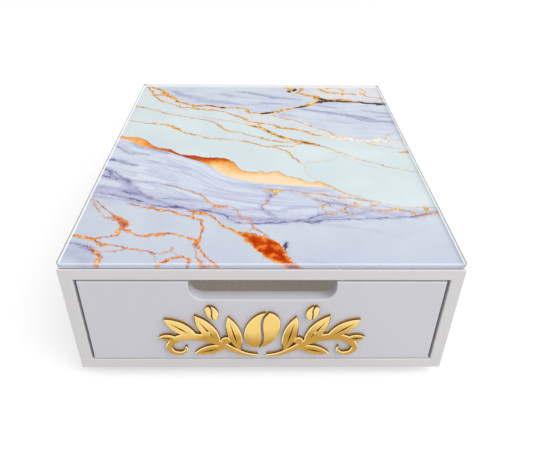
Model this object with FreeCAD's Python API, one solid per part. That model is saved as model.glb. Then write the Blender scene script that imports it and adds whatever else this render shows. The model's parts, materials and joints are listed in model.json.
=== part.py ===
# Coffee capsule drawer: a mitred board case under a printed glass top, with one inset drawer on two
# ball-bearing slides. The origin is on the table, in the middle of the case's footprint, with X to the
# right, Y to the back and Z up. Sizes are in millimetres.
import FreeCAD, Part
import os
from math import cos, pi, radians, sin
from FreeCAD import Vector

# Case
CASE_WIDTH = 270.0
CASE_DEPTH = 330.0
CASE_HEIGHT = 95.0
BOARD = 9.0  # the board that the case, the drawer's sides and its front are cut from
EDGE_ROUND = 0.8  # sanded and lacquered arris
BACK_THICKNESS = 3.0
REBATE_LAP = 4.5  # how far the back panel laps onto each board
BACK_PLAY = 0.2  # round the back panel, in its rebate

# Feet, each screwed on through its middle
FOOT_HEIGHT = 10.0
FOOT_TOP_RADIUS = 11.0
FOOT_BASE_RADIUS = 9.0
FOOT_INSET = 24.0  # from the case's outer faces to the foot's axis
FOOT_RECESS_RADIUS = 5.2
FOOT_RECESS_DEPTH = 6.0

# Glass top, its printed layer and its mounting tape
GLASS_THICKNESS = 4.0
GLASS_INSET = 0.2
GLASS_CORNER = 3.5
GLASS_BEVEL = 0.8
PRINT_THICKNESS = 0.2
PRINT_INSET = 0.4  # from the glass's edge
TAPE_THICKNESS = 0.8
TAPE_WIDTH = 12.0
TAPE_INSET = 6.0  # from the glass's edge

# Drawer
FRONT_SIDE_GAP = 2.0
FRONT_TOP_GAP = 1.5
FRONT_BOTTOM_GAP = 1.0
NOTCH_WIDTH = 100.0
NOTCH_DEPTH = 16.0
NOTCH_RADIUS = 10.0
SIDE_HEIGHT = 58.0
SIDE_CLEARANCE = 2.5  # under the drawer's sides
BACK_CLEARANCE = 3.0  # behind the drawer, where its stop pads are
FLOOR_THICKNESS = 3.0
GROOVE_HEIGHT = 6.0  # from the sides' lower edge to the floor's groove
GROOVE_DEPTH = 4.5
GROOVE_PLAY = 0.1
DOWEL_RADIUS = 3.0
DOWEL_LENGTH = 20.0
DOWEL_BITE = 6.0  # how deep a dowel goes into the face of a board
DOWEL_INSET = 10.0  # from the floor, or the sides' upper edge, to a dowel
DOWEL_PLAY = 0.05
PAD_SIZE = 12.0
PAD_PLAY = 0.3  # between a stop pad and the case's back
PAD_SPREAD = 60.0  # from the middle to a stop pad

# Slides: a rail on the case, a rail on the drawer, and a cage of balls between them
SLIDE_SETBACK = 12.0  # from the case's front to the slide
SLIDE_REAR_GAP = 18.0  # from the slide to the case's back
SLIDE_HEIGHT = 17.0
SLIDE_THICKNESS = 10.0
SLIDE_STEEL = 1.0
RAIL_OVERLAP = 80.0  # of the two rails, with the drawer pulled out to its stops
OUTER_LIP_ANGLE = 20.0  # where the outer rail's lip ends, measured round the ball
INNER_LIP_START = 262.0  # the stretch of the inner rail's race, measured round the ball
INNER_LIP_END = 330.0
BALL_RADIUS = 1.5
BALL_PLAY = 0.05
BALLS_IN_ROW = 6
BALL_PITCH = 12.0
CAGE_STEEL = 0.4
CAGE_GAP = 0.3  # between the cage and the outer rail's web
CAGE_LIP = 0.7  # what is left of the cage's flange beyond its balls
STOP_HALF_WIDTH = 3.0
STOP_PLAY = 0.5  # between the cage and each rail's stop, with the drawer pulled out

# Screws and brads
RAIL_SCREW_HEAD = 2.8  # radii of heads and shanks
RAIL_SCREW_SHANK = 1.3
RAIL_SCREW_SINK = 1.5  # height of the countersunk head
RAIL_SCREW_BITE = 6.5  # into the board
RAIL_SCREW_END = 30.0  # from a rail's end to its first screw
FOOT_SCREW_HEAD = 3.6
FOOT_SCREW_SHANK = 1.8
FOOT_SCREW_HEAD_HEIGHT = 2.2
FOOT_SCREW_BITE = 7.0
BRAD_HEAD = 1.3
BRAD_SHANK = 0.7
BRAD_SINK = 0.6
BRAD_BITE = 9.0
BRAD_SPREAD = 80.0  # from the middle of the case
HOLE_PLAY = 0.05
SMALL_SIDES = 8  # screws, brads, dowels and balls are drawn with flat sides

# Ornament, cut from mirror sheet and glued to the drawer front: a bean between two leafy scrolls
SHEET = 3.0
SHEET_BEVEL = 0.6
ORNAMENT_DROP = 7.0  # from the middle of the drawer front down to the ornament's middle
ORNAMENT_GRID = 5.0  # pitch of the square grid on which its pieces are laid out
BEAN_LENGTH = 36.0
BEAN_WIDTH = 24.0
BEAN_TILT = 68.0
SMALL_BEAN_LENGTH = 13.0
SMALL_BEAN_WIDTH = 8.5
BEAN_SLIT = 1.8
SMALL_BEAN_SLIT = 1.0
BERRY_RADIUS = 3.4
STEM_TIP_WIDTH = 1.8
STEM_WIDTH = 6.5
LEAF_RIB_WIDTH = 1.2
LEAF_RIB_START = 0.22  # where the slit along the midrib starts and ends, as shares of the leaf's length
LEAF_RIB_END = 0.86
STEM_ARCS = 9  # along each side of a stem
BEAN_SLIT_ARCS = 4

# Worked out from the sizes above
FRONT_Y = -CASE_DEPTH / 2
BACK_Y = CASE_DEPTH / 2
CASE_X = CASE_WIDTH / 2
CASE_BASE = FOOT_HEIGHT
CASE_TOP = CASE_BASE + CASE_HEIGHT
BAY_X = CASE_X - BOARD
BAY_FLOOR = CASE_BASE + BOARD
BAY_TOP = CASE_TOP - BOARD
TAPE_TOP = CASE_TOP + TAPE_THICKNESS
PRINT_TOP = TAPE_TOP + PRINT_THICKNESS
GLASS_X = CASE_X - GLASS_INSET
GLASS_Y = CASE_DEPTH / 2 - GLASS_INSET

FRONT_X = BAY_X - FRONT_SIDE_GAP
FRONT_LOW = BAY_FLOOR + FRONT_BOTTOM_GAP
FRONT_HIGH = BAY_TOP - FRONT_TOP_GAP
BOX_FRONT = FRONT_Y + BOARD
BOX_BACK = BACK_Y - BACK_THICKNESS - BACK_CLEARANCE
BOX_X = BAY_X - SLIDE_THICKNESS
BOX_INNER_X = BOX_X - BOARD
SIDE_LOW = BAY_FLOOR + SIDE_CLEARANCE
SIDE_HIGH = SIDE_LOW + SIDE_HEIGHT
FLOOR_LOW = SIDE_LOW + GROOVE_HEIGHT
FLOOR_HIGH = FLOOR_LOW + FLOOR_THICKNESS

SLIDE_FRONT = FRONT_Y + SLIDE_SETBACK
SLIDE_BACK = BACK_Y - SLIDE_REAR_GAP
SLIDE_Z = (SIDE_LOW + SIDE_HIGH) / 2
CAGE_LENGTH = RAIL_OVERLAP - 2 * (SLIDE_STEEL + STOP_PLAY)
CAGE_MIDDLE = (SLIDE_FRONT + SLIDE_BACK) / 2
BALL_IN = SLIDE_STEEL + BALL_PLAY + BALL_RADIUS  # from the case's wall to a ball's centre
BALL_UP = SLIDE_HEIGHT / 2 - BALL_IN  # from the slide's middle to a ball's centre
RACE = BALL_RADIUS + BALL_PLAY  # inner radius of the steel bent round a row of balls
ORNAMENT_Z = (FRONT_LOW + FRONT_HIGH) / 2 - ORNAMENT_DROP

UP = Vector(0, 0, 1)
FORWARD = Vector(0, -1, 0)
BACKWARD = Vector(0, 1, 0)
RIGHT = Vector(1, 0, 0)
LEFT = Vector(-1, 0, 0)


# Shapes

def block(x0, x1, y0, y1, z0, z1):
    return Part.makeBox(x1 - x0, y1 - y0, z1 - z0, Vector(x0, y0, z0))


def mirrored(shape):
    return shape.mirror(Vector(0, 0, 0), RIGHT)


def bar(outline, y0, y1):
    """A bar along Y whose section is the closed outline of (x, z) points."""
    points = [Vector(x, y0, z) for x, z in outline]
    face = Part.Face(Part.makePolygon(points + points[:1]))
    return face.extrude(Vector(0, y1 - y0, 0))


def turned(profile, place):
    """A solid turned about the upright line through a place, from its closed outline of (radius, height)."""
    points = [Vector(radius, 0, height) for radius, height in profile]
    face = Part.Face(Part.makePolygon(points + points[:1]))
    solid = face.revolve(Vector(0, 0, 0), UP, 360)
    solid.translate(place)
    return solid


def sided(rings, foot, direction):
    """A small round piece with flat sides, from its rings of (radius, height) along a line from foot."""
    loops = []
    for radius, height in rings:
        turns = [2 * pi * i / SMALL_SIDES for i in range(SMALL_SIDES)]
        loops.append([Vector(radius * cos(turn), radius * sin(turn), height) for turn in turns])
    outlines = [loops[0], loops[-1]]
    for low, high in zip(loops, loops[1:]):
        outlines += [[low[i - 1], low[i], high[i], high[i - 1]] for i in range(SMALL_SIDES)]
    faces = [Part.Face(Part.makePolygon(outline + outline[:1])) for outline in outlines]
    solid = Part.Solid(Part.Shell(faces))
    solid.Placement = FreeCAD.Placement(foot, FreeCAD.Rotation(UP, direction))
    return solid


def sunk_screw(head, sink, shank, length, face, direction):
    """A flat-headed screw whose head is flush with the face that it goes in at."""
    return sided([(head, 0), (shank, sink), (shank, length)], face, direction)


def rounded_plate(half_x, half_y, z0, z1, corner, bevel=0.0):
    """A level plate with round corners, bevelled along its upper edge."""
    plate = block(-half_x, half_x, -half_y, half_y, z0, z1)
    upright = [e for e in plate.Edges if abs(e.tangentAt(e.FirstParameter).z) > 0.9]
    plate = plate.makeFillet(corner, upright)
    if bevel:
        upper = [e for e in plate.Edges if e.BoundBox.ZMin > z1 - 1e-3]
        plate = plate.makeChamfer(bevel, upper)
    return plate


def edges_in(shape, y_at, x_limit, z_low, z_high):
    """The edges of the shape that lie in the plane y_at, inside the given sides."""
    found = []
    for edge in shape.Edges:
        box = edge.BoundBox
        flat = abs(box.YMin - y_at) < 1e-3 and abs(box.YMax - y_at) < 1e-3
        inside = box.XMin > -x_limit and box.XMax < x_limit and box.ZMin > z_low and box.ZMax < z_high
        if flat and inside:
            found.append(edge)
    return found


# Where the fasteners go

def foot_places():
    x = CASE_X - FOOT_INSET
    y = CASE_DEPTH / 2 - FOOT_INSET
    return [Vector(-x, -y, 0), Vector(x, -y, 0), Vector(-x, y, 0), Vector(x, y, 0)]


def brad_places():
    """Brads through the back panel into the boards, in the middle of the rebate's lap."""
    x = BAY_X + REBATE_LAP / 2
    low = BAY_FLOOR - REBATE_LAP / 2
    high = BAY_TOP + REBATE_LAP / 2
    middle = (low + high) / 2
    level = [Vector(side * BRAD_SPREAD, BACK_Y, z) for z in (low, high) for side in (-1, 1)]
    return level + [Vector(-x, BACK_Y, middle), Vector(x, BACK_Y, middle)]


def rail_screws(x, direction, play):
    """The screws along a rail, flush with the inner face of its web."""
    screws = []
    for y in (SLIDE_FRONT + RAIL_SCREW_END, CAGE_MIDDLE, SLIDE_BACK - RAIL_SCREW_END):
        screws.append(
            sunk_screw(
                RAIL_SCREW_HEAD + play,
                RAIL_SCREW_SINK + play,
                RAIL_SCREW_SHANK + play,
                SLIDE_STEEL + RAIL_SCREW_BITE + play,
                Vector(x, y, SLIDE_Z),
                direction,
            )
        )
    return screws


def outer_rail_screws(play=0.0):
    """The right outer rail's screws, going out into the case's side. With play, they are their own holes."""
    return rail_screws(BAY_X - SLIDE_STEEL, RIGHT, play)


def inner_rail_screws(play=0.0):
    """The right inner rail's screws, going into the drawer's side."""
    return rail_screws(BOX_X + SLIDE_STEEL, LEFT, play)


def foot_screws(play=0.0):
    """Each foot's screw: its head in the foot's recess, its shank through the foot into the case."""
    head, shank = FOOT_SCREW_HEAD + play, FOOT_SCREW_SHANK + play
    low = -FOOT_SCREW_HEAD_HEIGHT - play
    tip = FOOT_HEIGHT - FOOT_RECESS_DEPTH + FOOT_SCREW_BITE + play
    rings = [(head, low), (head, 0), (shank, 0), (shank, tip)]
    seat = UP * FOOT_RECESS_DEPTH
    return [sided(rings, place + seat, UP) for place in foot_places()]


def brads(play=0.0):
    head, sink, shank = BRAD_HEAD + play, BRAD_SINK + play, BRAD_SHANK + play
    length = BACK_THICKNESS + BRAD_BITE + play
    return [sunk_screw(head, sink, shank, length, place, FORWARD) for place in brad_places()]


def dowels(play=0.0):
    """Two dowels in each corner of the drawer: along Y into its front, and along X into its back."""
    side_middle = BOX_X - BOARD / 2
    back_middle = BOX_BACK - BOARD / 2
    radius = DOWEL_RADIUS + play
    rings = [(radius, -play), (radius, DOWEL_LENGTH + play)]
    made = []
    for z in (FLOOR_HIGH + DOWEL_INSET, SIDE_HIGH - DOWEL_INSET):
        in_front = Vector(side_middle, BOX_FRONT - DOWEL_BITE, z)
        in_back = Vector(BOX_INNER_X + DOWEL_BITE, back_middle, z)
        made.append(sided(rings, in_front, BACKWARD))
        made.append(sided(rings, in_back, LEFT))
    return made + [mirrored(dowel) for dowel in made]


# Case

def case_shell():
    """The whole case before it is split along its mitres, with its bay, rebate and fastener holes."""
    shell = block(-CASE_X, CASE_X, FRONT_Y, BACK_Y, CASE_BASE, CASE_TOP)
    shell = shell.makeFillet(EDGE_ROUND, [e for e in shell.Edges if e.BoundBox.YMin < BACK_Y - 1])
    shell = shell.cut(block(-BAY_X, BAY_X, FRONT_Y - 1, BACK_Y + 1, BAY_FLOOR, BAY_TOP))
    lap = REBATE_LAP
    rebate = block(
        -BAY_X - lap, BAY_X + lap, BACK_Y - BACK_THICKNESS, BACK_Y + 1, BAY_FLOOR - lap, BAY_TOP + lap
    )
    shell = shell.cut(rebate)
    inner_arris = edges_in(shell, FRONT_Y, BAY_X + 0.1, BAY_FLOOR - 0.1, BAY_TOP + 0.1)
    shell = shell.makeFillet(EDGE_ROUND, inner_arris)
    rail_holes = outer_rail_screws(HOLE_PLAY)
    rail_holes += [mirrored(hole) for hole in rail_holes]
    return shell.cut(rail_holes + foot_screws(HOLE_PLAY) + brads(HOLE_PLAY))


def case_panels():
    """The four boards of the case, mitred at 45 degrees where they meet."""
    shell = case_shell()
    over = 1.0
    deep = BOARD + REBATE_LAP
    out_x, in_x = CASE_X + over, CASE_X - deep
    out_top, in_top = CASE_TOP + over, CASE_TOP - deep
    out_base, in_base = CASE_BASE - over, CASE_BASE + deep
    wedges = {
        "case_top_panel": [(-out_x, out_top), (out_x, out_top), (in_x, in_top), (-in_x, in_top)],
        "case_bottom_panel": [(-out_x, out_base), (out_x, out_base), (in_x, in_base), (-in_x, in_base)],
        "case_left_side": [(-out_x, out_base), (-in_x, in_base), (-in_x, in_top), (-out_x, out_top)],
        "case_right_side": [(out_x, out_base), (in_x, in_base), (in_x, in_top), (out_x, out_top)],
    }
    return {
        name: shell.common(bar(outline, FRONT_Y - over, BACK_Y + over))
        for name, outline in wedges.items()
    }


def case_back_panel():
    lap = REBATE_LAP - BACK_PLAY
    panel = block(
        -BAY_X - lap, BAY_X + lap, BACK_Y - BACK_THICKNESS, BACK_Y, BAY_FLOOR - lap, BAY_TOP + lap
    )
    return panel.cut(brads(HOLE_PLAY))


def rubber_feet():
    """Four feet that taper to the table, each with a recess that hides its screw."""
    outline = [
        (FOOT_RECESS_RADIUS, 0),
        (FOOT_BASE_RADIUS, 0),
        (FOOT_TOP_RADIUS, FOOT_HEIGHT),
        (0, FOOT_HEIGHT),
        (0, FOOT_RECESS_DEPTH),
        (FOOT_RECESS_RADIUS, FOOT_RECESS_DEPTH),
    ]
    return [turned(outline, place).cut(foot_screws(HOLE_PLAY)) for place in foot_places()]


# Glass top

def glass_top():
    return rounded_plate(
        GLASS_X, GLASS_Y, PRINT_TOP, PRINT_TOP + GLASS_THICKNESS, GLASS_CORNER, GLASS_BEVEL
    )


def glass_print():
    """The printed layer on the underside of the glass."""
    corner = GLASS_CORNER - PRINT_INSET
    return rounded_plate(GLASS_X - PRINT_INSET, GLASS_Y - PRINT_INSET, TAPE_TOP, PRINT_TOP, corner)


def glass_tape():
    """Four strips of tape between the printed layer and the case, set back from the edge."""
    x, y = GLASS_X - TAPE_INSET, GLASS_Y - TAPE_INSET
    strips = []
    for side in (-1, 1):
        outer, inner = sorted((side * y, side * (y - TAPE_WIDTH)))
        strips.append(block(-x, x, outer, inner, CASE_TOP, TAPE_TOP))
        outer, inner = sorted((side * x, side * (x - TAPE_WIDTH)))
        strips.append(block(outer, inner, TAPE_WIDTH - y, y - TAPE_WIDTH, CASE_TOP, TAPE_TOP))
    return strips


# Drawer

def floor_groove():
    """What is cut from the drawer's boards to hold its floor."""
    x, y0, y1 = BOX_INNER_X + GROOVE_DEPTH, BOX_FRONT - GROOVE_DEPTH, BOX_BACK - BOARD + GROOVE_DEPTH
    return block(-x, x, y0, y1, FLOOR_LOW - GROOVE_PLAY, FLOOR_HIGH + GROOVE_PLAY)


def drawer_front():
    """The inset front, with its finger notch in the upper edge and its edges rounded."""
    board = block(-FRONT_X, FRONT_X, FRONT_Y, BOX_FRONT, FRONT_LOW, FRONT_HIGH)
    half, low = NOTCH_WIDTH / 2, FRONT_HIGH - NOTCH_DEPTH
    notch = block(-half, half, FRONT_Y - 1, BOX_FRONT + 1, low, FRONT_HIGH + NOTCH_RADIUS)
    below = [
        e for e in notch.Edges
        if abs(e.tangentAt(e.FirstParameter).y) > 0.9 and e.BoundBox.ZMax < low + 1
    ]
    board = board.cut(notch.makeFillet(NOTCH_RADIUS, below))
    arris = edges_in(board, FRONT_Y, FRONT_X + 1, FRONT_LOW - 1, FRONT_HIGH + 1)
    board = board.makeFillet(EDGE_ROUND, arris)
    return board.cut([floor_groove()] + dowels(DOWEL_PLAY))


def drawer_side():
    """The right side of the drawer, from its front to its back edge."""
    board = block(BOX_INNER_X, BOX_X, BOX_FRONT, BOX_BACK, SIDE_LOW, SIDE_HIGH)
    return board.cut([floor_groove()] + dowels(DOWEL_PLAY) + inner_rail_screws(HOLE_PLAY))


def drawer_back():
    board = block(-BOX_INNER_X, BOX_INNER_X, BOX_BACK - BOARD, BOX_BACK, SIDE_LOW, SIDE_HIGH)
    return board.cut([floor_groove()] + dowels(DOWEL_PLAY))


def drawer_floor():
    inset = GROOVE_DEPTH - GROOVE_PLAY
    x, y0, y1 = BOX_INNER_X + inset, BOX_FRONT - inset, BOX_BACK - BOARD + inset
    return block(-x, x, y0, y1, FLOOR_LOW, FLOOR_HIGH)


def stop_pads():
    """Felt pads on the drawer's back that meet the case's back when the front is flush."""
    half, thickness = PAD_SIZE / 2, BACK_CLEARANCE - PAD_PLAY
    right = block(
        PAD_SPREAD - half,
        PAD_SPREAD + half,
        BOX_BACK,
        BOX_BACK + thickness,
        SLIDE_Z - half,
        SLIDE_Z + half,
    )
    return [right, mirrored(right)]


# Slides. Each section is drawn for the right slide, from the case's wall towards the drawer.

def section_point(inward, up):
    return Vector(BAY_X - inward, SLIDE_FRONT, SLIDE_Z + up)


def section_block(in0, in1, up0, up1, y0, y1):
    return block(BAY_X - in1, BAY_X - in0, y0, y1, SLIDE_Z + up0, SLIDE_Z + up1)


def race_band(start, end, level):
    """A strip of steel bent round a row of balls. level is 1 for the upper row and -1 for the lower."""

    def point(radius, angle):
        turn = radians(angle)
        return section_point(BALL_IN + radius * cos(turn), level * (BALL_UP + radius * sin(turn)))

    middle = (start + end) / 2
    outer = RACE + SLIDE_STEEL
    inner_arc = Part.Arc(point(RACE, start), point(RACE, middle), point(RACE, end)).toShape()
    outer_arc = Part.Arc(point(outer, start), point(outer, middle), point(outer, end)).toShape()
    ends = [Part.makeLine(point(RACE, angle), point(outer, angle)) for angle in (start, end)]
    wire = Part.Wire(Part.__sortEdges__([inner_arc, ends[0], outer_arc, ends[1]]))
    return Part.Face(wire).extrude(Vector(0, SLIDE_BACK - SLIDE_FRONT, 0))


def fused(pieces):
    return pieces[0].fuse(pieces[1:]).removeSplitter()


def outer_rail():
    """The channel on the case's side: its lips hold the balls, and its front tab stops the cage."""
    web = section_block(0, SLIDE_STEEL, -BALL_UP, BALL_UP, SLIDE_FRONT, SLIDE_BACK)
    tab_reach = SLIDE_STEEL + CAGE_GAP + CAGE_STEEL
    tab = section_block(
        0, tab_reach, -STOP_HALF_WIDTH, STOP_HALF_WIDTH, SLIDE_FRONT, SLIDE_FRONT + SLIDE_STEEL
    )
    lips = [race_band(OUTER_LIP_ANGLE, 180.0, level) for level in (1, -1)]
    return fused([web, tab] + lips).cut(outer_rail_screws(HOLE_PLAY))


def inner_rail():
    """The channel on the drawer's side: its flanges end in races, and its rear tab stops the cage."""
    top = BALL_UP + RACE * sin(radians(INNER_LIP_END))
    lip_end = BALL_IN + RACE * cos(radians(INNER_LIP_END))
    web_face = SLIDE_THICKNESS - SLIDE_STEEL
    web = section_block(web_face, SLIDE_THICKNESS, -top, top, SLIDE_FRONT, SLIDE_BACK)
    tab = section_block(
        SLIDE_STEEL + CAGE_GAP,
        web_face,
        -STOP_HALF_WIDTH,
        STOP_HALF_WIDTH,
        SLIDE_BACK - SLIDE_STEEL,
        SLIDE_BACK,
    )
    pieces = [web, tab]
    for level in (1, -1):
        low, high = sorted((level * top, level * (top - SLIDE_STEEL)))
        pieces.append(section_block(lip_end, SLIDE_THICKNESS, low, high, SLIDE_FRONT, SLIDE_BACK))
        pieces.append(race_band(INNER_LIP_START, INNER_LIP_END, level))
    return fused(pieces).cut(inner_rail_screws(HOLE_PLAY))


def ball_centres():
    rows = []
    for level in (1, -1):
        for i in range(BALLS_IN_ROW):
            y = CAGE_MIDDLE + (i - (BALLS_IN_ROW - 1) / 2) * BALL_PITCH
            centre = section_point(BALL_IN, level * BALL_UP)
            rows.append(Vector(centre.x, y, centre.z))
    return rows


def balls():
    turns = [pi * (i + 0.5) / (SMALL_SIDES / 2) for i in range(SMALL_SIDES // 2)]
    rings = [(BALL_RADIUS * sin(turn), -BALL_RADIUS * cos(turn)) for turn in turns]
    return [sided(rings, centre, UP) for centre in ball_centres()]


def ball_cage():
    """The thin channel that keeps the balls apart and rolls half as far as the drawer."""
    y0, y1 = CAGE_MIDDLE - CAGE_LENGTH / 2, CAGE_MIDDLE + CAGE_LENGTH / 2
    near = SLIDE_STEEL + CAGE_GAP
    far = BALL_IN + RACE + CAGE_LIP
    top = BALL_UP + CAGE_STEEL / 2
    pieces = [section_block(near, near + CAGE_STEEL, -top, top, y0, y1)]
    for level in (1, -1):
        low, high = sorted((level * top, level * (top - CAGE_STEEL)))
        pieces.append(section_block(near, far, low, high, y0, y1))
    pockets = []
    for centre in ball_centres():
        corner = centre - Vector(RACE, RACE, RACE)
        pockets.append(Part.makeBox(2 * RACE, 2 * RACE, 2 * RACE, corner))
    return fused(pieces).cut(pockets)


# Ornament. Its pieces are drawn on the front's face, in u to the right and v up from the ornament's middle.
# Places, and the leaves' sizes, are counted in steps of the ornament's grid.

def on_front(u, v):
    return Vector(u, FRONT_Y, ORNAMENT_Z + v)


def on_grid(*steps):
    return [step * ORNAMENT_GRID for step in steps]


def bevelled(outline):
    """A piece of sheet on the drawer front, from the function that draws its edge."""
    shoulder = SHEET - SHEET_BEVEL
    body = Part.Face(outline(0.0, 0.0)).extrude(FORWARD * shoulder)
    return body.fuse(Part.makeLoft([outline(0.0, shoulder), outline(SHEET_BEVEL, SHEET)], True, True))


def arc_chain(points):
    """Arcs through the points, three at a time, each starting where the last one ended."""
    return [Part.Arc(*points[i:i + 3]).toShape() for i in range(0, len(points) - 2, 2)]


def stroke(route, tip_width, width, arcs):
    """How a stroke's outline is drawn along a smooth route: thin at its round ends, wide in its middle."""

    def outline(inset, forward):
        line = Part.BSplineCurve()
        line.interpolate([on_front(u, v) + FORWARD * forward for u, v in route])
        steps = 2 * arcs
        left, right, tips = [], [], []
        for i in range(steps + 1):
            share = i / steps
            at = line.parameterAtDistance(share * line.length())
            place, along = line.value(at), Vector(*line.tangent(at)[0]).normalize()
            half = (tip_width + (width - tip_width) * sin(pi * share)) / 2 - inset
            across = along.cross(FORWARD) * half
            left.append(place + across)
            right.append(place - across)
            if i in (0, steps):
                tips.append(place + along * (half if i else -half))
        ends = [left[0], tips[0], right[0]], [left[-1], tips[1], right[-1]]
        edges = arc_chain(left) + arc_chain(right) + arc_chain(ends[0]) + arc_chain(ends[1])
        return Part.Wire(Part.__sortEdges__(edges))

    return outline


def leaf(base, angle, long, wide):
    """A leaf of sheet between two arcs, with a narrow slit along its midrib."""
    base, turn, (length, width) = on_grid(*base), radians(angle), on_grid(long, wide)
    radius = (length ** 2 + width ** 2) / (4 * width)

    def place(along, across, forward):
        u = base[0] + along * cos(turn) - across * sin(turn)
        v = base[1] + along * sin(turn) + across * cos(turn)
        return on_front(u, v) + FORWARD * forward

    def outline(inset, forward):
        half = width / 2 - inset
        reach = ((radius - inset) ** 2 - (radius - width / 2) ** 2) ** 0.5
        tail = place(length / 2 - reach, 0, forward)
        tip = place(length / 2 + reach, 0, forward)
        sides = [Part.Arc(tail, place(length / 2, side, forward), tip) for side in (-half, half)]
        return Part.Wire(Part.__sortEdges__([side.toShape() for side in sides]))

    slit = [
        place(LEAF_RIB_START * length, 0, 0),
        place(length / 2, LEAF_RIB_WIDTH / 2, 0),
        place(LEAF_RIB_END * length, 0, 0),
        place(length / 2, -LEAF_RIB_WIDTH / 2, 0),
    ]
    return bevelled(outline).cut(Part.Face(Part.makePolygon(slit + slit[:1])).extrude(FORWARD * SHEET))


def bean(middle, length, width, slit):
    """A bean in two halves, with a winding slit between them."""
    middle = on_grid(*middle)

    def outline(inset, forward):
        centre = on_front(*middle) + FORWARD * forward
        oval = Part.Ellipse(centre, length / 2 - inset, width / 2 - inset)
        oval.Axis = FORWARD
        oval.XAxis = RIGHT
        wire = Part.Wire(oval.toShape())
        wire.rotate(centre, FORWARD, BEAN_TILT)
        return wire

    turn = radians(BEAN_TILT)
    route = []
    for along, across in ((-0.6, 0), (-0.3, -0.17), (0, 0), (0.3, 0.17), (0.6, 0)):
        u, v = along * length, across * width
        route.append((middle[0] + u * cos(turn) - v * sin(turn), middle[1] + u * sin(turn) + v * cos(turn)))
    winding = Part.Face(stroke(route, slit, slit, BEAN_SLIT_ARCS)(0, 0)).extrude(FORWARD * SHEET)
    return bevelled(outline).cut(winding).Solids


def berry(*middle):
    def outline(inset, forward):
        centre = on_front(*on_grid(*middle)) + FORWARD * forward
        return Part.Wire(Part.makeCircle(BERRY_RADIUS - inset, centre, FORWARD))

    return bevelled(outline)


def scroll():
    """The right scroll: a stem that runs out and curls in, with leaves along it and berries between them."""
    places = [(0.8, -4.8), (4, -3.8), (7, -1.8), (10, -1)]
    places += [(12.6, -1.8), (13.4, -3.6), (11.8, -4.4), (11, -3.2)]
    route = [on_grid(*place) for place in places]
    stem = bevelled(stroke(route, STEM_TIP_WIDTH, STEM_WIDTH, STEM_ARCS))
    leaves = [
        leaf((3.2, -4), 77, 7, 2),
        leaf((6, -2.5), 58, 6.6, 2.1),
        leaf((9.2, -1.2), 38, 5.8, 2),
        leaf((12, -1.4), 6, 2.8, 1.2),
        leaf((5, -3), -16, 5, 1.7),
    ]
    berries = [berry(5.2, -1.8), berry(8, -0.5)]
    return stem.fuse(leaves + berries)


def main():
    nodes = {}
    nodes.update(case_panels())
    nodes["case_back_panel"] = case_back_panel()
    nodes["back_panel_brads"] = Part.makeCompound(brads())
    nodes["rubber_feet"] = Part.makeCompound(rubber_feet())
    nodes["foot_screws"] = Part.makeCompound(foot_screws())
    nodes["glass_top"] = glass_top()
    nodes["glass_print"] = glass_print()
    nodes["glass_tape"] = Part.makeCompound(glass_tape())

    nodes["drawer_front"] = drawer_front()
    nodes["drawer_right_side"] = drawer_side()
    nodes["drawer_left_side"] = mirrored(nodes["drawer_right_side"])
    nodes["drawer_back"] = drawer_back()
    nodes["drawer_floor"] = drawer_floor()
    nodes["drawer_dowels"] = Part.makeCompound(dowels())
    nodes["drawer_stop_pads"] = Part.makeCompound(stop_pads())

    right_scroll = scroll()
    small_bean = bean((7, 3.6), SMALL_BEAN_LENGTH, SMALL_BEAN_WIDTH, SMALL_BEAN_SLIT)
    small_beans = small_bean + [mirrored(half) for half in small_bean]
    nodes["ornament_scrolls"] = Part.makeCompound([right_scroll, mirrored(right_scroll)])
    nodes["ornament_bean"] = Part.makeCompound(bean((0, 0.2), BEAN_LENGTH, BEAN_WIDTH, BEAN_SLIT))
    nodes["ornament_small_beans"] = Part.makeCompound(small_beans)

    slide_pieces = {
        "outer_rail": outer_rail(),
        "outer_rail_screws": Part.makeCompound(outer_rail_screws()),
        "inner_rail": inner_rail(),
        "inner_rail_screws": Part.makeCompound(inner_rail_screws()),
        "ball_cage": ball_cage(),
        "slide_balls": Part.makeCompound(balls()),
    }
    for name, shape in slide_pieces.items():
        nodes["right_" + name] = shape
        nodes["left_" + name] = mirrored(shape)

    os.makedirs("parts", exist_ok=True)
    for name, shape in nodes.items():
        shape.exportStep("parts/" + name + ".step")
        print(name, "solids", len(shape.Solids), "valid", shape.isValid(), "volume", round(shape.Volume, 2))


main()
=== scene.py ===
import json
from math import cos, pi, radians, sin

import bmesh
import bpy
import numpy as np
from mathutils import Matrix, Vector

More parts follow.
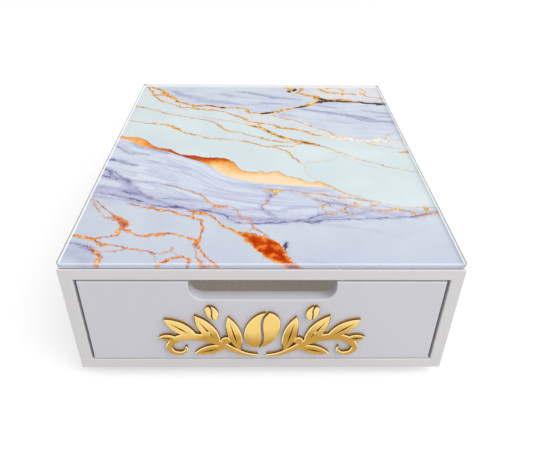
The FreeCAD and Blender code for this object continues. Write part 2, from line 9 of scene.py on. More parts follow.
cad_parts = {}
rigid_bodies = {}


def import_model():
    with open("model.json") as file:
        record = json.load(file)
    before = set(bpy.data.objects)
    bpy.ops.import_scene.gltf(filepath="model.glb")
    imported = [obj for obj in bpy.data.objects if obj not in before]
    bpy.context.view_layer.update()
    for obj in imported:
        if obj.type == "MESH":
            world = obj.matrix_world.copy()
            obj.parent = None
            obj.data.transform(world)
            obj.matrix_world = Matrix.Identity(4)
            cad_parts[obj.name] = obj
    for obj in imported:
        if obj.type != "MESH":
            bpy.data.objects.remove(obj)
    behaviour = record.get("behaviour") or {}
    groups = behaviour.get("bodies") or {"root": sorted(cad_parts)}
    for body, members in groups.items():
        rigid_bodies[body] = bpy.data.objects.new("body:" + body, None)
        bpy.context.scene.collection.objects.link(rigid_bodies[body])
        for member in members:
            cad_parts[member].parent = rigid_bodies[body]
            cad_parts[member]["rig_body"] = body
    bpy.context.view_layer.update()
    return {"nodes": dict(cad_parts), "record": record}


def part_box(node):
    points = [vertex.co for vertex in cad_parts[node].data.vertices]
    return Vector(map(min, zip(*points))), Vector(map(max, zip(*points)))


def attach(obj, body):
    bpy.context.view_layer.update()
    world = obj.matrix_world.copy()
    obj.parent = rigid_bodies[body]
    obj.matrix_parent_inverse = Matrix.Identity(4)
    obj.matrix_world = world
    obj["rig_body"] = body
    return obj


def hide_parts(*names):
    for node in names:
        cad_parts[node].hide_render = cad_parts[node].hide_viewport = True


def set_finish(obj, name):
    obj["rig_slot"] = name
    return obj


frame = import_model()
nodes = frame["nodes"]

MM = 0.001
SLOTS = {part["node"]: part["material_slot"] for part in frame["record"]["subparts"]}

# Camera, from the lines of the case and its glass top in the photograph
IMAGE_WIDTH = 533
SENSOR = 36.0
FOCAL_PIXELS = 538.5
CAMERA_PLACE = Vector((-0.0026, -0.4380, 0.3305))
CAMERA_PITCH = 0.6087  # below the horizon
CAMERA_YAW = 0.0173
CAMERA_ROLL = 0.0123

# Studio
FLOOR_SIZE = 12.0
FLOOR_GREY = 0.54
FLOOR_GLOW = 0.51  # what the floor shows over its own grey, to read as white paper
WORLD_LEVEL = 0.70
WORLD_SIDE = 0.30  # how much brighter the studio is on the right than in the middle, as a share
KEY_PLACE = (1.1, -1.1, 1.8)
KEY_SIZE = 1.8
KEY_POWER = 32.0

# Fasteners, in mm: the radius and depth of the head and the radius of the shank
FOOT_SCREW = (3.6, 2.2, 1.8)
RAIL_SCREW = (2.8, 1.5, 1.3)

# How wide the arris is, in mm, of the pieces whose edges are sharp in the CAD model
ROUNDED = {
    "glass_top": 0.3,
    "glass_tape": 0.25,
    "drawer_stop_pads": 0.5,
    "drawer_dowels": 0.3,
    "drawer_floor": 0.2,
    "case_back_panel": 0.25,
    "ornament_bean": 0.32,
    "ornament_small_beans": 0.28,
    "ornament_scrolls": 0.28,
}
WELD = 0.002  # corners of a CAD mesh that are nearer than this are one, in mm

# Marble print, in mm
PRINT_STEP = 2.0  # between the points of the print's mesh
PRINT_GAP = 0.03  # between the print and the glass
PRINT_CORNER = 3.1  # radius of the print's corners
ROUTE_STEP = 2.5  # between the points of a smoothed vein
BEYOND = 400.0  # how far a vein's line runs on past its ends
VEIN_REACH = 9.5  # how far from its line a vein still tints the stone
NO_VEIN = -3.0  # stands for a vein's half width where there is none
TAPER = 3.0  # over which a vein's end runs out
TIE = 1e-6  # distances that differ by less are the same


def lines(*rows, settings=1):
    """Each row's settings, and its points as an array of (to the right, to the back, half width)."""
    return [(*row[:settings], np.reshape(row[settings:], (-1, 3)).astype(float)) for row in rows]


# Veins of the print, in mm from its middle: the vein's strength, then each point's place to the right and to the
# back and the vein's half width there

GOLD_VEINS = lines(
    (1, -140, 172, 1.5, -129, 164, 1.3, -120, 159, 1.7, -112, 150, 2.4, -105, 138, 3.2, -97, 131, 2.4,
     -90, 120, 1.8, -80, 114, 1.6, -66, 108, 1.7, -56, 109, 2.3, -41, 104, 1.9, -32, 104, 1.2, -24, 103, 1.7,
     -17, 100, 1.3, -12, 91, 1.8, -3, 89, 1.7, 4, 89, 2.2, 14, 92, 2, 24, 99, 2.1, 36, 104, 1.8,
     46, 109, 2.3, 53, 114, 2.6, 60, 119, 2, 70, 123.5, 2.2, 84, 124, 2.4, 98, 122.5, 1.9, 112, 120, 1.8,
     128, 116.5, 2, 142, 115, 2),
    (1, -131, 164, 1.2, -125, 152, 1.1, -119, 139, 1.3, -113, 126, 1, -107, 119, 1.4, -98, 115, 0.8,
     -91, 111, 1, -85, 103, 1, -76, 103, 0.9, -70, 101.5, 1.6, -56, 98, 1.3, -41, 94, 0.9, -30, 84, 0.9,
     -20, 78, 1.6, -12, 69, 1.4, -3, 64.5, 1.2, 10, 61.5, 1.2, 19, 54, 1.8, 30, 52, 1.5, 42, 46, 1.2,
     49, 39, 2.2, 58, 36, 1),
    (1, 25, 174, 2, 31, 163, 2.6, 34, 154, 2.4, 37, 149, 2, 46, 144, 2.2, 55, 139, 2.8, 61, 131, 2.3,
     62, 124, 2, 66, 117, 1),
    (0.95, 47, 174, 2, 46, 162, 1.9, 44, 153, 1.8, 42, 146, 1.4),
    (0.8, 24, 165, 1.5, 36, 165, 1.8, 50, 164, 1.4),
    (1, 57, 140, 1.2, 64, 133, 2.2, 70, 128, 2, 80, 128, 1.8, 90, 127, 1.7, 97, 125, 1.6, 101, 121, 0.6),
    (1, -73, 111, 0.9, -72, 105, 1.2, -70, 101, 0.9),
    (1, -119, 140, 0.96, -114, 140, 1.56, -108, 138, 0.96),
    (1, 65, 162, 1.08, 69, 155, 1.76, 74, 150, 1.89, 82, 148.5, 1.62, 93, 146, 1.08),
    (0.9, 74, 160, 1.04, 82, 165, 1.69, 90, 162, 1.3, 94, 152, 0.65),
    (1, 89, 146, 0.52, 91.5, 143, 1.82, 97, 147, 0.78, 102, 145.5, 1.82, 108, 143, 0.65),
    (0.9, 111, 150, 0.42, 114, 143, 1.68, 120, 137, 0.56, 126, 134.5, 1.26, 142, 128, 0.7),
    (0.75, 113, 164, 0.52, 117, 152, 0.91, 116, 146, 0.39),
    (0.95, -142, 111, 1.1, -134, 107, 1.32, -118, 99.5, 0.88, -98, 88, 0.77, -80, 80, 0.66, -64, 75, 0.66,
     -50, 67, 0.77, -43, 58, 1.32, -36, 50, 0.99, -31, 46, 0.99, -20, 41, 0.55, -6, 33, 0.88, 6, 27, 0.99,
     18, 22.5, 0.99, 34, 21.5, 1.1),
    (1, -14, 60, 0.98, -8, 56, 1.82, -1, 53, 2.1, 5, 46, 2.1, 12, 39, 1.82, 19, 34, 2.24, 28, 28, 1.54,
     38, 23, 2.52, 46, 19, 2.66, 53, 15.5, 1.4),
    (0.7, -62, 80, 0.33, -44, 73, 0.55, -26, 66, 0.66, -14, 60, 0.88),
    (0.7, 50, 17, 1, 63, 7.5, 0.8, 75, -3, 0.8, 90, -13.5, 0.5, 112, -27, 0.45, 142, -38, 0.4),
    (1, -5, 65, 0.72, -2, 59, 1.08, 0, 53, 1.2),
    (0.95, -142, 75, 0.55, -128, 68, 0.55, -110, 62.5, 0.88, -98, 61.5, 1.1, -91, 58.5, 1.54, -82, 49, 1.32,
     -72, 41, 1.1, -62, 35.5, 0.77, -48, 29.5, 0.77, -32, 28, 0.55, -20, 24, 0.88, -8, 19.5, 0.99,
     2, 14, 1.21, 13, 9.5, 0.88, 22, 3, 1.21, 26, -3, 0.88, 29, -11, 0.99, 33, -18, 0.55),
    (0.22, 33, -18, 0.4, 37, -22, 0.4, 36.5, -32, 0.35, 41, -42, 0.35, 46, -50, 0.5),
    (0.85, 8, 12, 0.44, 18, 14, 0.99, 27, 12, 0.66, 33, 17, 0.55, 39, 20, 0.55),
    (0.2, 36, -19, 0.3, 46, -17, 0.4, 55, -15, 0.8, 63, -11, 0.4, 74, -3.5, 0.4),
    (0.14, 72, -6, 0.3, 88, -21, 0.4, 104, -30.5, 0.35, 111, -33, 0.8, 122, -40, 0.3),
    (0.75, 6, 89, 0.8, 15, 82, 0.8, 22, 77, 1.3, 32, 72.5, 1, 41, 67, 1, 45, 63, 1.6, 51, 57, 0.9,
     60, 51, 0.7, 66, 43.5, 1.1, 71, 34, 1),
    (0.45, 117, 27, 0.5, 122, 39, 0.5, 128, 43.5, 0.5, 142, 44, 0.5),
    (0.95, 124, 2, 0.5, 130, 3, 1.6, 142, 3, 1.5),
    (0.42, 100, 25, 0.6, 101, 18, 1, 112, 14.5, 0.3, 121, 11.5, 0.9, 132, 8, 0.3),
    (0.7, 0, -67, 0.6, 4, -66, 1.6, 11, -66, 1.8, 20, -65, 0.8, 32, -68.5, 0.8, 44, -71.5, 0.9, 54, -74, 1.1,
     66, -77.5, 0.8, 80, -80, 0.6, 92, -86, 0.4),
    (0.95, 12, -65, 1.2, 10.5, -70, 1.92, 9, -73, 0.48),
    (0.4, 50, -53, 1, 57, -60, 1.2, 62, -66, 1.3, 67, -71, 1.6, 76, -76, 0.7, 88, -82, 0.5, 104, -88, 0.4,
     120, -91, 0.5, 142, -91, 0.5),
    (0.5, 33, -69, 0.5, 36, -74, 0.6, 42, -80, 0.6, 45, -84, 0.5),
    (0.7, 58, -84, 0.45, 68, -87.5, 0.63, 78, -91.5, 0.63, 89, -96, 0.81, 97, -95.5, 1.44, 104, -93.5, 1.44,
     111, -96.5, 0.9, 118, -100, 1.35, 123, -101, 1.26, 129, -99, 0.81, 142, -95, 0.72),
    (0.75, 72, -82, 0.45, 73.5, -86.5, 1.98, 79, -86, -1, 87, -87.5, 1.62, 82, -90, 0.36),
    (0.75, 53, -89, 0.36, 50.5, -86, 1.26, 46, -90, 1.08, 47, -96, 0.45, 50, -100, 1.08, 58, -96, 0.63,
     62.5, -92.5, 1.35, 65, -89, 0.54),
    (0.7, 62, -97, 0.8, 68, -98.5, 0.5, 73, -98, 0.5),
    (0.8, 124, -89, 0.8, 125.5, -93, 1.7, 129, -97, 0.6),
)

CREAM_VEINS = lines(
    (1, 55, 36, 0.6, 66, 33, 1.8, 74, 31, 3, 86, 29, 2, 98, 26, 1.5, 104, 24, 2.2, 111, 27, 2.3,
     119, 25, 1.4, 126, 22.5, 0.8, 142, 23.5, 0.8),
    (0.9, -1, 86, 0.5, 4, 86, 1.1, 11, 88, 0.9, 17, 93, 0.8),
    (0.9, 42, 67, 0.4, 44, 64, 1.1, 47, 61, 0.4),
    (0.9, 35, 152, 0.6, 36.5, 149, 1.3, 38, 146, 0.5),
    (0.9, -107, 136, 0.5, -105, 134, 1.2, -102, 132, 0.4),
    (0.9, 46, 44, 0.3, 48.5, 38, 1, 51, 36, 0.4),
)

RUST_VEINS = lines(
    (0.9, -140, -76, 0.5, -128, -83, 0.6, -121, -93, 0.6, -113, -101, 0.9, -109, -106, 2.6, -104, -110, 3.6,
     -101, -115, 3.6, -101, -120, 2, -95, -123, 0.9, -89, -127, 1.1, -81, -128, 1.4, -68, -126, 1.4,
     -56, -128, 0.8, -49, -132, 1.2, -44, -135, 2),
    (0.6, -138, -79, 0.4, -130, -86, 0.5, -122, -100, 0.6, -117, -106, 0.7, -110, -106, 0.8),
    (0.9, -102, -119, 1.27, -103.5, -123, 0.85, -101.5, -128, 1.02, -107, -129.5, 0.68, -114, -130.5, 0.94,
     -120, -132.5, 1.53),
    (0.9, -142, -124, 1.04, -131, -128.5, 1.44, -120, -132.5, 1.52, -115, -136, 0.96, -111, -138.5, 1.76,
     -105, -138.5, 0.48, -98, -141, 0.4, -92, -144, 1.2, -84, -144.5, 0.64, -77, -145.5, 0.64,
     -74.5, -148, 1.04, -72, -149.5, 0.48),
    (0.7, -110, -147, 0.5, -100, -146, 0.8, -92, -144.5, 1),
    (0.9, -104, -86, 0.4, -95, -89.5, 0.6, -88, -91.5, 0.9, -84, -92, 2.1, -79, -95, 1.3, -72, -96.5, 1.2,
     -65, -98.5, 1.7, -59, -102.5, 0.8, -53, -103, 0.8),
    (1, -56, -96, 0.8, -50, -97.5, 1.6, -42, -101, 1.1, -35, -107.5, 0.8, -27, -117, 0.8, -18, -123.5, 1.4,
     -12, -128, 3, -3, -135, 7, 4, -141, 9.3, 8, -148, 7.8, 12, -154, 5, 16, -159, 4.3, 20, -164, 4.6,
     23, -172, 6),
    (0.95, -52, -98, 0.85, -52, -103, 0.77, -50, -107, 0.77, -46, -108, 0.68, -44, -114, 0.85,
     -43.3, -119, 1.36, -43, -127, 0.77, -44, -134, 1.27, -46.5, -139, 1.7, -44, -143, 1.02, -38, -151, 0.59,
     -33.5, -157, 0.77, -31, -162, 1.87, -30, -172, 2.12),
    (0.9, -48, -143, 0.4, -45, -150, 0.6, -42, -157, 1.2, -39, -163, 3.4, -34, -172, 5),
    (0.95, -71, -174, 1.53, -69.5, -163, 1.44, -66, -158, 1.19, -61, -153.5, 0.94, -54, -152, 0.94,
     -50, -156, 0.94, -49.3, -163, 1.1, -49.5, -174, 1.19),
    (0.6, -61.5, -141, 0.8, -64, -146, 0.8, -71, -149, 0.4),
    (0.5, -64, -146, 0.5, -57, -150, 0.4, -54, -152, 0.4),
    (0.4, -75.5, -149, 0.4, -72, -156, 0.4, -70, -160, 0.4),
    (0.75, -84, -56, 0.3, -70, -61, 0.5, -59, -66, 0.6, -48, -74, 0.8, -41, -83, 1, -36, -89, 1.4,
     -31, -91, 2.2, -24, -90, 0.7, -20, -95, 0.6, -17, -104, 0.8, -14, -107, 1, -8, -110, 1, -8, -114, 0.9,
     -7, -119, 1, -2, -123, 0.8, 4, -129, 1),
    (0.5, -7, -119, 0.7, -11, -121, 0.5, -15, -125, 0.7),
    (0.9, -119, -141, 0.6, -114, -147, 1.1, -110.5, -151.5, 1.8, -110, -158, 1.2, -109, -164, 1.5,
     -106, -174, 1.6),
    (0.8, 5, -79, 0.9, 3, -84, 0.9, -1, -89, 0.7),
)

INK_VEINS = lines(
    (1, -1, 88.5, 1.08, 4, 89.5, 2.4, 10, 91, 1.2, 14, 93, 0.6),
    (1, 34, 104, 0.6, 42, 107, 2.04, 47, 109, 1.56, 49, 111, 0.48),
    (1, 60, 119, 0.84, 63, 121, 2.64, 67, 123.5, 1.56, 76, 123.5, 2.4, 88, 123.5, 2.16, 97, 121.5, 0.96,
     106, 120.5, 1.2, 112, 119.5, 2.04, 120, 117.5, 1.2, 128, 116, 2.52, 142, 114.5, 2.4),
    (1, 64, 133, 0.84, 66.5, 129.5, 3.48, 71, 128, 1.44),
    (1, 38, 161, 0.96, 38, 156, 2.52, 36, 152, 1.08),
    (1, 31, 155, 0.6, 31.5, 151.5, 1.92, 33, 149, 0.6),
    (1, -59, 109, 0.48, -56, 109.5, 1.56, -52, 108, 0.6),
    (1, -44, 105, 0.48, -41, 104, 1.68, -38, 103.5, 0.48),
    (0.6, -9, 57, 0.6, -7, 56, 1.44, -4, 54.5, 0.48),
    (0.6, 4, 48, 0.6, 6, 45, 1.44, 8, 42, 0.48),
    (0.6, 15, 37, 0.84, 18, 35, 1.68, 21, 32.5, 0.6),
    (0.6, 37, 23.5, 0.96, 42, 20.5, 1.92, 48, 18.5, 0.6),
    (0.8, 16, -136, 0.7, 15.8, -139, 1.4, 14.5, -144, 0.7),
)

PURPLE_VEINS = lines(
    (1, -112, -77.5, 0.54, -104, -78.5, 1.22, -98, -81.5, 1.49, -90, -85, 0.81, -84, -88, 1.35,
     -76, -90, 0.81, -66, -91, 1.49, -58, -93, 0.68, -50, -95, 0.68, -42, -95.5, 1.22, -36, -98.5, 0.81,
     -28, -102.5, 0.68, -22, -109, 1.22, -14, -112, 0.68, -6, -113.5, 0.94, 6, -112.5, 0.68,
     20, -110.5, 0.94, 28, -109.5, 1.62, 37, -111.5, 2.29, 45, -109, 1.22, 56, -107.5, 0.54, 90, -105, 0.54,
     112, -103, 0.68, 122, -100.5, 1.08, 142, -95, 0.81),
    (0.8, -142, -68, 0.66, -126, -71.5, 0.77, -112, -76, 0.66, -100, -79, 0.55),
    (0.3, -142, -59, 0.8, -130, -60.5, 0.9, -118, -64, 0.6, -104, -70, 0.5),
    (0.3, -142, -75, 0.7, -122, -77.5, 0.8, -108, -81, 0.5, -94, -87, 0.4),
    (0.75, -142, -12, 1.04, -132, -14.5, 1.56, -124, -17, 1.82, -116, -22, 1.04, -108, -25, 0.39),
    (0.9, -142, -27, 0.72, -132, -33, 0.96, -127, -40, 1.2, -124, -46, 1.92, -118, -48.5, 0.96,
     -111, -51, 1.44, -108, -57, 0.72),
    (1, -142, -40, 0.9, -130, -44, 1.2, -124, -47.5, 1.8),
    (0.85, -131, -33, 0.48, -125, -37, 0.84, -119, -43, 0.72, -112, -49, 0.48),
    (0.45, -111, -51, 0.72, -102, -52, 0.54, -92, -54, 0.45, -80, -57, 0.45, -70, -61, 0.36),
    (0.8, -113, -66, 0.55, -108, -69, 1.43, -101, -71.5, 1.21, -95, -74, 0.55, -88, -78, 0.44),
    (0.5, -104, -60, 0.4, -100, -66, 0.7, -94, -73, 0.8, -86, -77.5, 0.4),
    (0.55, -90, -77.5, 0.55, -76, -79, 0.66, -60, -79.5, 0.55, -48, -82, 0.55, -40, -84, 0.33),
    (0.5, -90, -78, 0.6, -80, -83, 0.7, -70, -89, 0.4),
    (0.45, -44, -96, 0.5, -34, -90, 0.5, -28, -88, 0.3),
    (0.4, -22, -95, 0.4, -12, -93.5, 0.5, -2, -95, 0.8, 6, -99, 0.9, 10, -106, 0.8, 8, -112, 0.4),
    (0.6, -2, -88, 0.4, 0, -94, 0.9, 3, -99, 0.5, 8, -103, 0.4),
    (0.3, 2, -95, 0.5, 12, -96.5, 0.5, 20, -93, 0.4, 30, -91, 0.3),
    (0.4, -24, -105, 0.4, -12, -107, 0.6, 0, -108, 0.5, 12, -107, 0.4, 24, -110, 0.5),
    (0.95, 33, -110.5, 1.2, 37, -105.5, 1.5, 42, -102.5, 0.9, 52, -100, 0.45),
    (0.5, 44, -105, 0.5, 56, -104, 0.5, 66, -102.5, 0.7, 74, -98.5, 0.6, 80, -97, 0.3),
    (0.9, 3, -70, 0.5, 6, -73.5, 1.7, 5, -78, 1.2, 3, -83, 0.3),
    (0.5, 40, -79, 0.4, 48, -82, 0.6, 58, -85, 0.7, 66, -89, 0.5, 70, -93, 0.3),
    (0.95, -142, -134, 0.96, -131, -138, 1.08, -121, -142, 0.84, -115, -147, 1.08, -112, -150, 0.72),
    (0.45, -130, -140, 0.5, -118, -146.5, 0.7, -110, -152, 0.5),
    (0.95, 16.5, -135, 0.5, 17, -139, 1.4, 15, -143, 1, 14.5, -150, 0.5),
    (0.95, 60, -103.5, 0.56, 68, -101, 0.84, 73, -98, 1.26),
    (0.5, -122, 22, 0.52, -112, 12, 0.65, -98, 6, 0.52, -84, -3, 0.39),
    (0.6, -142, 20, 0.78, -130, 8, 0.91, -121, 0, 0.91, -112, -3, 0.65, -100, -5, 0.39),
    (0.38, -26, 150.5, 0.3, -14, 147, 0.6, -6, 143.5, 1, 4, 138.5, 0.8, 11, 134.5, 1.2, 13, 131, 0.9,
     26, 131.5, 0.6, 36, 128.5, 0.3),
    (0.3, -45, 140.5, 0.4, -42, 142, 1.1, -38, 139, 0.5, -28, 136, 0.3),
    (0.25, -99, 151, 0.4, -95, 145, 0.8, -90, 140, 1, -78, 135, 0.4),
    (0.25, -2, 117.5, 0.4, 8, 116, 0.9, 20, 114.5, 0.4),
    (0.42, 44, 101.5, 0.4, 52, 99, 0.7, 58, 95.5, 1.1, 66, 94, 0.8, 78, 89.5, 0.8, 88, 85.5, 1.5,
     95, 82, 2.2, 104, 80, 1, 110, 76, 0.6),
    (0.3, 60, 112, 0.4, 70, 108, 0.9, 80, 103, 0.4),
    (0.4, 106, 98.5, 0.4, 118, 95, 0.8, 128, 91.5, 1, 142, 90, 1),
    (0.4, 120, 83, 0.5, 128, 82.5, 1.1, 142, 82, 1),
    (0.22, 18, 86.5, 0.5, 26, 84.5, 0.8, 34, 82, 0.4),
    (0.35, 96, 78, 1, 104, 73, 1.2, 112, 69.5, 1.6, 122, 69, 0.8, 142, 68, 0.6),
    (0.2, -56, 124, 0.4, -40, 119, 0.7, -24, 114, 0.4),
)

# Soft lilac clouds of the print, as the veins but with the softness of their edge after their strength
CLOUDS = lines(
    (0.75, 3, -142, -13, 2.2, -128, -15.5, 2, -118, -21, 1.8, -108, -26, 0.8),
    (0.75, 4, -142, -27, 1.5, -125, -42, 2, -113, -51, 4, -108, -62, 5, -98, -72, 4, -88, -77, 3,
     -78, -84, 2),
    (0.5, 6, -142, -62, 4, -118, -68, 5, -96, -76, 6, -80, -84, 6, -62, -88, 4, -40, -92, 3, -20, -104, 4,
     0, -108, 5, 20, -107, 4, 40, -106, 5, 60, -98, 5, 90, -98, 5, 142, -96, 4),
    (0.4, 2, -2, -88, 1, 0, -94, 1.4, 10, -96.5, 1, 20, -93, 0.8, 34, -91, 0.4),
    (0.5, 2.5, 42, -80, 1, 50, -83, 2, 60, -86, 1.8, 68, -90, 1),
    (0.35, 1.6, 42, -113, 0.6, 60, -116, 0.8, 78, -120.5, 0.8, 92, -125, 0.8, 100, -132, 0.4),
    (0.35, 2, 14, -149, 0.6, 24, -154, 1, 38, -159, 0.8, 60, -162, 0.4),
    (0.3, 1.8, -142, -151, 0.8, -122, -152.5, 0.8, -106, -157, 0.5),
    (0.5, 2, -122, -158, 0.6, -114, -164, 1.8, -108, -172, 2),
    (0.65, 5, -100, 152, 2, -90, 141, 4, -76, 132, 5, -60, 122, 4, -42, 117, 3, -20, 113, 2, 10, 108, 1),
    (0.8, 3.5, -30, 152, 1, -14, 146.5, 2.5, 0, 141, 2.5, 12, 134, 3, 26, 130.5, 2, 44, 126, 1),
    (0.5, 3, -46, 142, 0.8, -40, 140, 2, -20, 134, 1.5, 6, 128, 1),
    (0.85, 3.5, 40, 101, 1, 54, 97, 2, 66, 92, 2.5, 82, 88, 2.5, 94, 83, 3.5, 108, 76, 5, 122, 70, 2.5,
     142, 66, 2),
    (0.55, 3, 0, 118, 1, 12, 116, 2, 28, 112, 1.5, 44, 104, 1),
    (0.35, 2.5, 56, 112, 1, 70, 107, 1.5, 84, 102, 1),
    (0.35, 2.5, 104, 98, 1, 122, 92, 2, 142, 90, 2),
    (0.35, 2.5, 96, 84, 1.5, 118, 82, 1.8, 142, 82, 2),
    (0.25, 3, 20, 86, 1, 30, 83, 1.5, 50, 76, 1.2, 80, 70, 1),
    (0.6, 3, -142, 26, 1.2, -128, 14, 1.6, -120, 4, 1.4, -112, -1, 1.2),
    (0.6, 3, -124, 18, 0.8, -110, 9, 1.8, -96, 3, 1.8, -84, -3, 1),
    (0.35, 2, -118, -1, 0.8, -104, -3, 1.4, -90, -2, 1),
    (0.45, 5, -142, -146, 5, -126, -149, 5, -118, -158, 4, -116, -172, 4),
    (0.35, 5, -12, -64, 1, 4, -68, 4, 22, -70, 4, 36, -74, 2),
    (0.4, 5, 6, -100, 2, 20, -100, 4, 34, -102, 4),
    settings=2,
)

# The gold leaf lies between these two edges. The lower one runs on as the border of the mint stone.
LEAF_UPPER = [
    (-142, 43), (-130, 32), (-119, 31.5), (-108, 24), (-98, 11.5), (-84, 6.5), (-77, 0), (-70, -4.5),
    (-60, -5.5), (-52, -9), (-38, -9.5), (-31, -12), (-24, -19), (-19.5, -30), (-13, -34.5), (-4, -35.5),
    (0, -33.5), (4, -37), (13, -34), (20, -41.5), (30, -46), (38, -51.5), (44, -53), (46.5, -49), (52, -56),
    (60, -62), (70, -72), (80, -84), (100, -104), (142, -140),
]
LEAF_LOWER = [
    (-142, 30), (-128, 26), (-112, 14), (-96, 5.5), (-84, 0.5), (-66, -10.5), (-52, -19), (-44, -26.5),
    (-36, -36.5), (-22, -47), (-6, -52), (12, -56), (34, -59), (56, -60.5), (66, -68), (80, -78), (98, -87),
    (120, -93), (142, -95),
]

# Behind this line the stone is lilac again, at the right of the mint stone
SIDE_BORDER = [
    (2, 97), (8, 88), (22, 77), (41, 67), (45, 63), (51, 57), (60, 51), (68, 40), (72, 33), (86, 29),
    (98, 26), (111, 26), (126, 22.5), (142, 23.5),
]

# The streaks of the lavender stone run along this line
FLOW_LINE = [
    (-142, -8), (-110, -20), (-80, -35), (-50, -51), (-20, -62), (20, -70), (60, -75), (100, -86), (142, -98),
]

# Lines that part the print's stones and lead their streaks
BORDERS = {
    "leaf_upper": LEAF_UPPER,
    "leaf_lower": LEAF_LOWER,
    "back_border": GOLD_VEINS[0][1],
    "grey_border": GOLD_VEINS[1][1],
    "side_border": SIDE_BORDER,
    "front_border": PURPLE_VEINS[0][1],
    "flow": FLOW_LINE,
}
VEIN_STYLES = {
    "gold": GOLD_VEINS,
    "cream": CREAM_VEINS,
    "rust": RUST_VEINS,
    "ink": INK_VEINS,
    "purple": PURPLE_VEINS,
}


# Node trees

def linear(colour):
    """A colour of three numbers, 0 to 255 as in the photograph, as Blender's four linear ones."""
    if len(colour) == 4:
        return colour
    shares = [value / 255 for value in colour]
    return [s / 12.92 if s <= 0.04045 else ((s + 0.055) / 1.055) ** 2.4 for s in shares] + [1.0]


class Tree:
    """A node tree, with short calls for the nodes that the finishes are made of."""

    def __init__(self, tree):
        self.tree = tree

    def add(self, kind, inputs=(), **settings):
        node = self.tree.nodes.new("ShaderNode" + kind)
        for name, value in settings.items():
            setattr(node, name, value)
        for name, value in dict(inputs).items():
            self.feed(node.inputs[name], value)
        return node

    def out(self, kind, inputs=(), **settings):
        """The first output of a new node."""
        return self.add(kind, inputs, **settings).outputs[0]

    def feed(self, socket, value):
        if isinstance(value, bpy.types.NodeSocket):
            self.tree.links.new(value, socket)
        else:
            socket.default_value = linear(value) if socket.type == "RGBA" else value

    def math(self, operation, *values, clamp=False):
        return self.out("Math", enumerate(values), operation=operation, use_clamp=clamp)

    def plus(self, *values):
        return self.math("ADD", *values)

    def minus(self, *values):
        return self.math("SUBTRACT", *values)

    def times(self, *values):
        return self.math("MULTIPLY", *values)

    def most(self, *values):
        return self.math("MAXIMUM", *values)

    def mix(self, share, low, high):
        return self.add("Mix", {0: share, 6: low, 7: high}, data_type="RGBA").outputs[2]

    def between(self, share, low, high):
        return self.out("Mix", {0: share, 2: low, 3: high}, data_type="FLOAT")

    def span(self, value, low, high, to_low=0.0, to_high=1.0, kind="LINEAR"):
        inputs = {"Value": value, "From Min": low, "From Max": high, "To Min": to_low, "To Max": to_high}
        return self.out("MapRange", inputs, interpolation_type=kind)

    def step(self, *values):
        """A span with soft ends."""
        return self.span(*values, kind="SMOOTHSTEP")

    def ramp(self, value, *stops):
        node = self.add("ValToRGB", {"Fac": value})
        points = node.color_ramp.elements
        while len(points) < len(stops):
            points.new(0.5)
        for point, (place, colour) in zip(points, stops):
            point.position = place
            point.color = linear(colour)
        return node.outputs["Color"]

    def parts(self, vector):
        return self.add("SeparateXYZ", {0: vector}).outputs

    def kept(self, name):
        """The vector that the mesh keeps under a name for each point."""
        return self.add("Attribute", attribute_name=name).outputs["Vector"]

    def left_of(self, name):
        """How far to the left of a border of the print a point is, in mm."""
        return self.parts(self.kept(name))[0]

    def place(self, scale=(1.0, 1.0, 1.0)):
        """Where a point of the object is, in millimetres, times a scale along each axis."""
        here = self.add("TexCoord").outputs["Object"]
        factors = [share / MM for share in scale]
        return self.out("VectorMath", {0: here, 1: factors}, operation="MULTIPLY")

    def noise(self, where, size, detail=2.0, rough=0.5, warp=0.0):
        """Soft noise whose blotches are about size millimetres across."""
        inputs = {"Vector": where, "Scale": 1 / size, "Detail": detail, "Roughness": rough, "Distortion": warp}
        return self.out("TexNoise", inputs)

    def bump(self, height, depth):
        """Relief: the height's 0 to 1 stands for a depth in millimetres."""
        return self.out("Bump", {"Height": height, "Strength": 1.0, "Distance": depth * MM})


def finish(name, build):
    """A material whose surface shader is what build makes in its node tree."""
    material = bpy.data.materials.new(name)
    material.use_nodes = True
    tree = Tree(material.node_tree)
    material.node_tree.nodes.clear()
    tree.add("OutputMaterial", {"Surface": build(tree)})
    return material


def principled(tree, **inputs):
    return tree.out("BsdfPrincipled", {name.replace("_", " "): value for name, value in inputs.items()})


# Print

def smoothed(points):
    """The points of a smooth line through a vein's points, with its width between them."""
    known = np.array(points, float)
    ends = 2 * known[[0, -1]] - known[[1, -2]]
    known = np.vstack([ends[:1], known, ends[1:]])
    line = [known[1:2]]
    for before, start, end, after in zip(known, known[1:], known[2:], known[3:]):
        count = max(2, int(np.hypot(*(end - start)[:2]) / ROUTE_STEP))
        t = np.linspace(0, 1, count + 1)[1:, None]
        bend = (2 * before - 5 * start + 4 * end - after) * t ** 2
        curl = (3 * start - before - 3 * end + after) * t ** 3
        line.append((2 * start + (end - before) * t + bend + curl) / 2)
    return np.vstack(line)


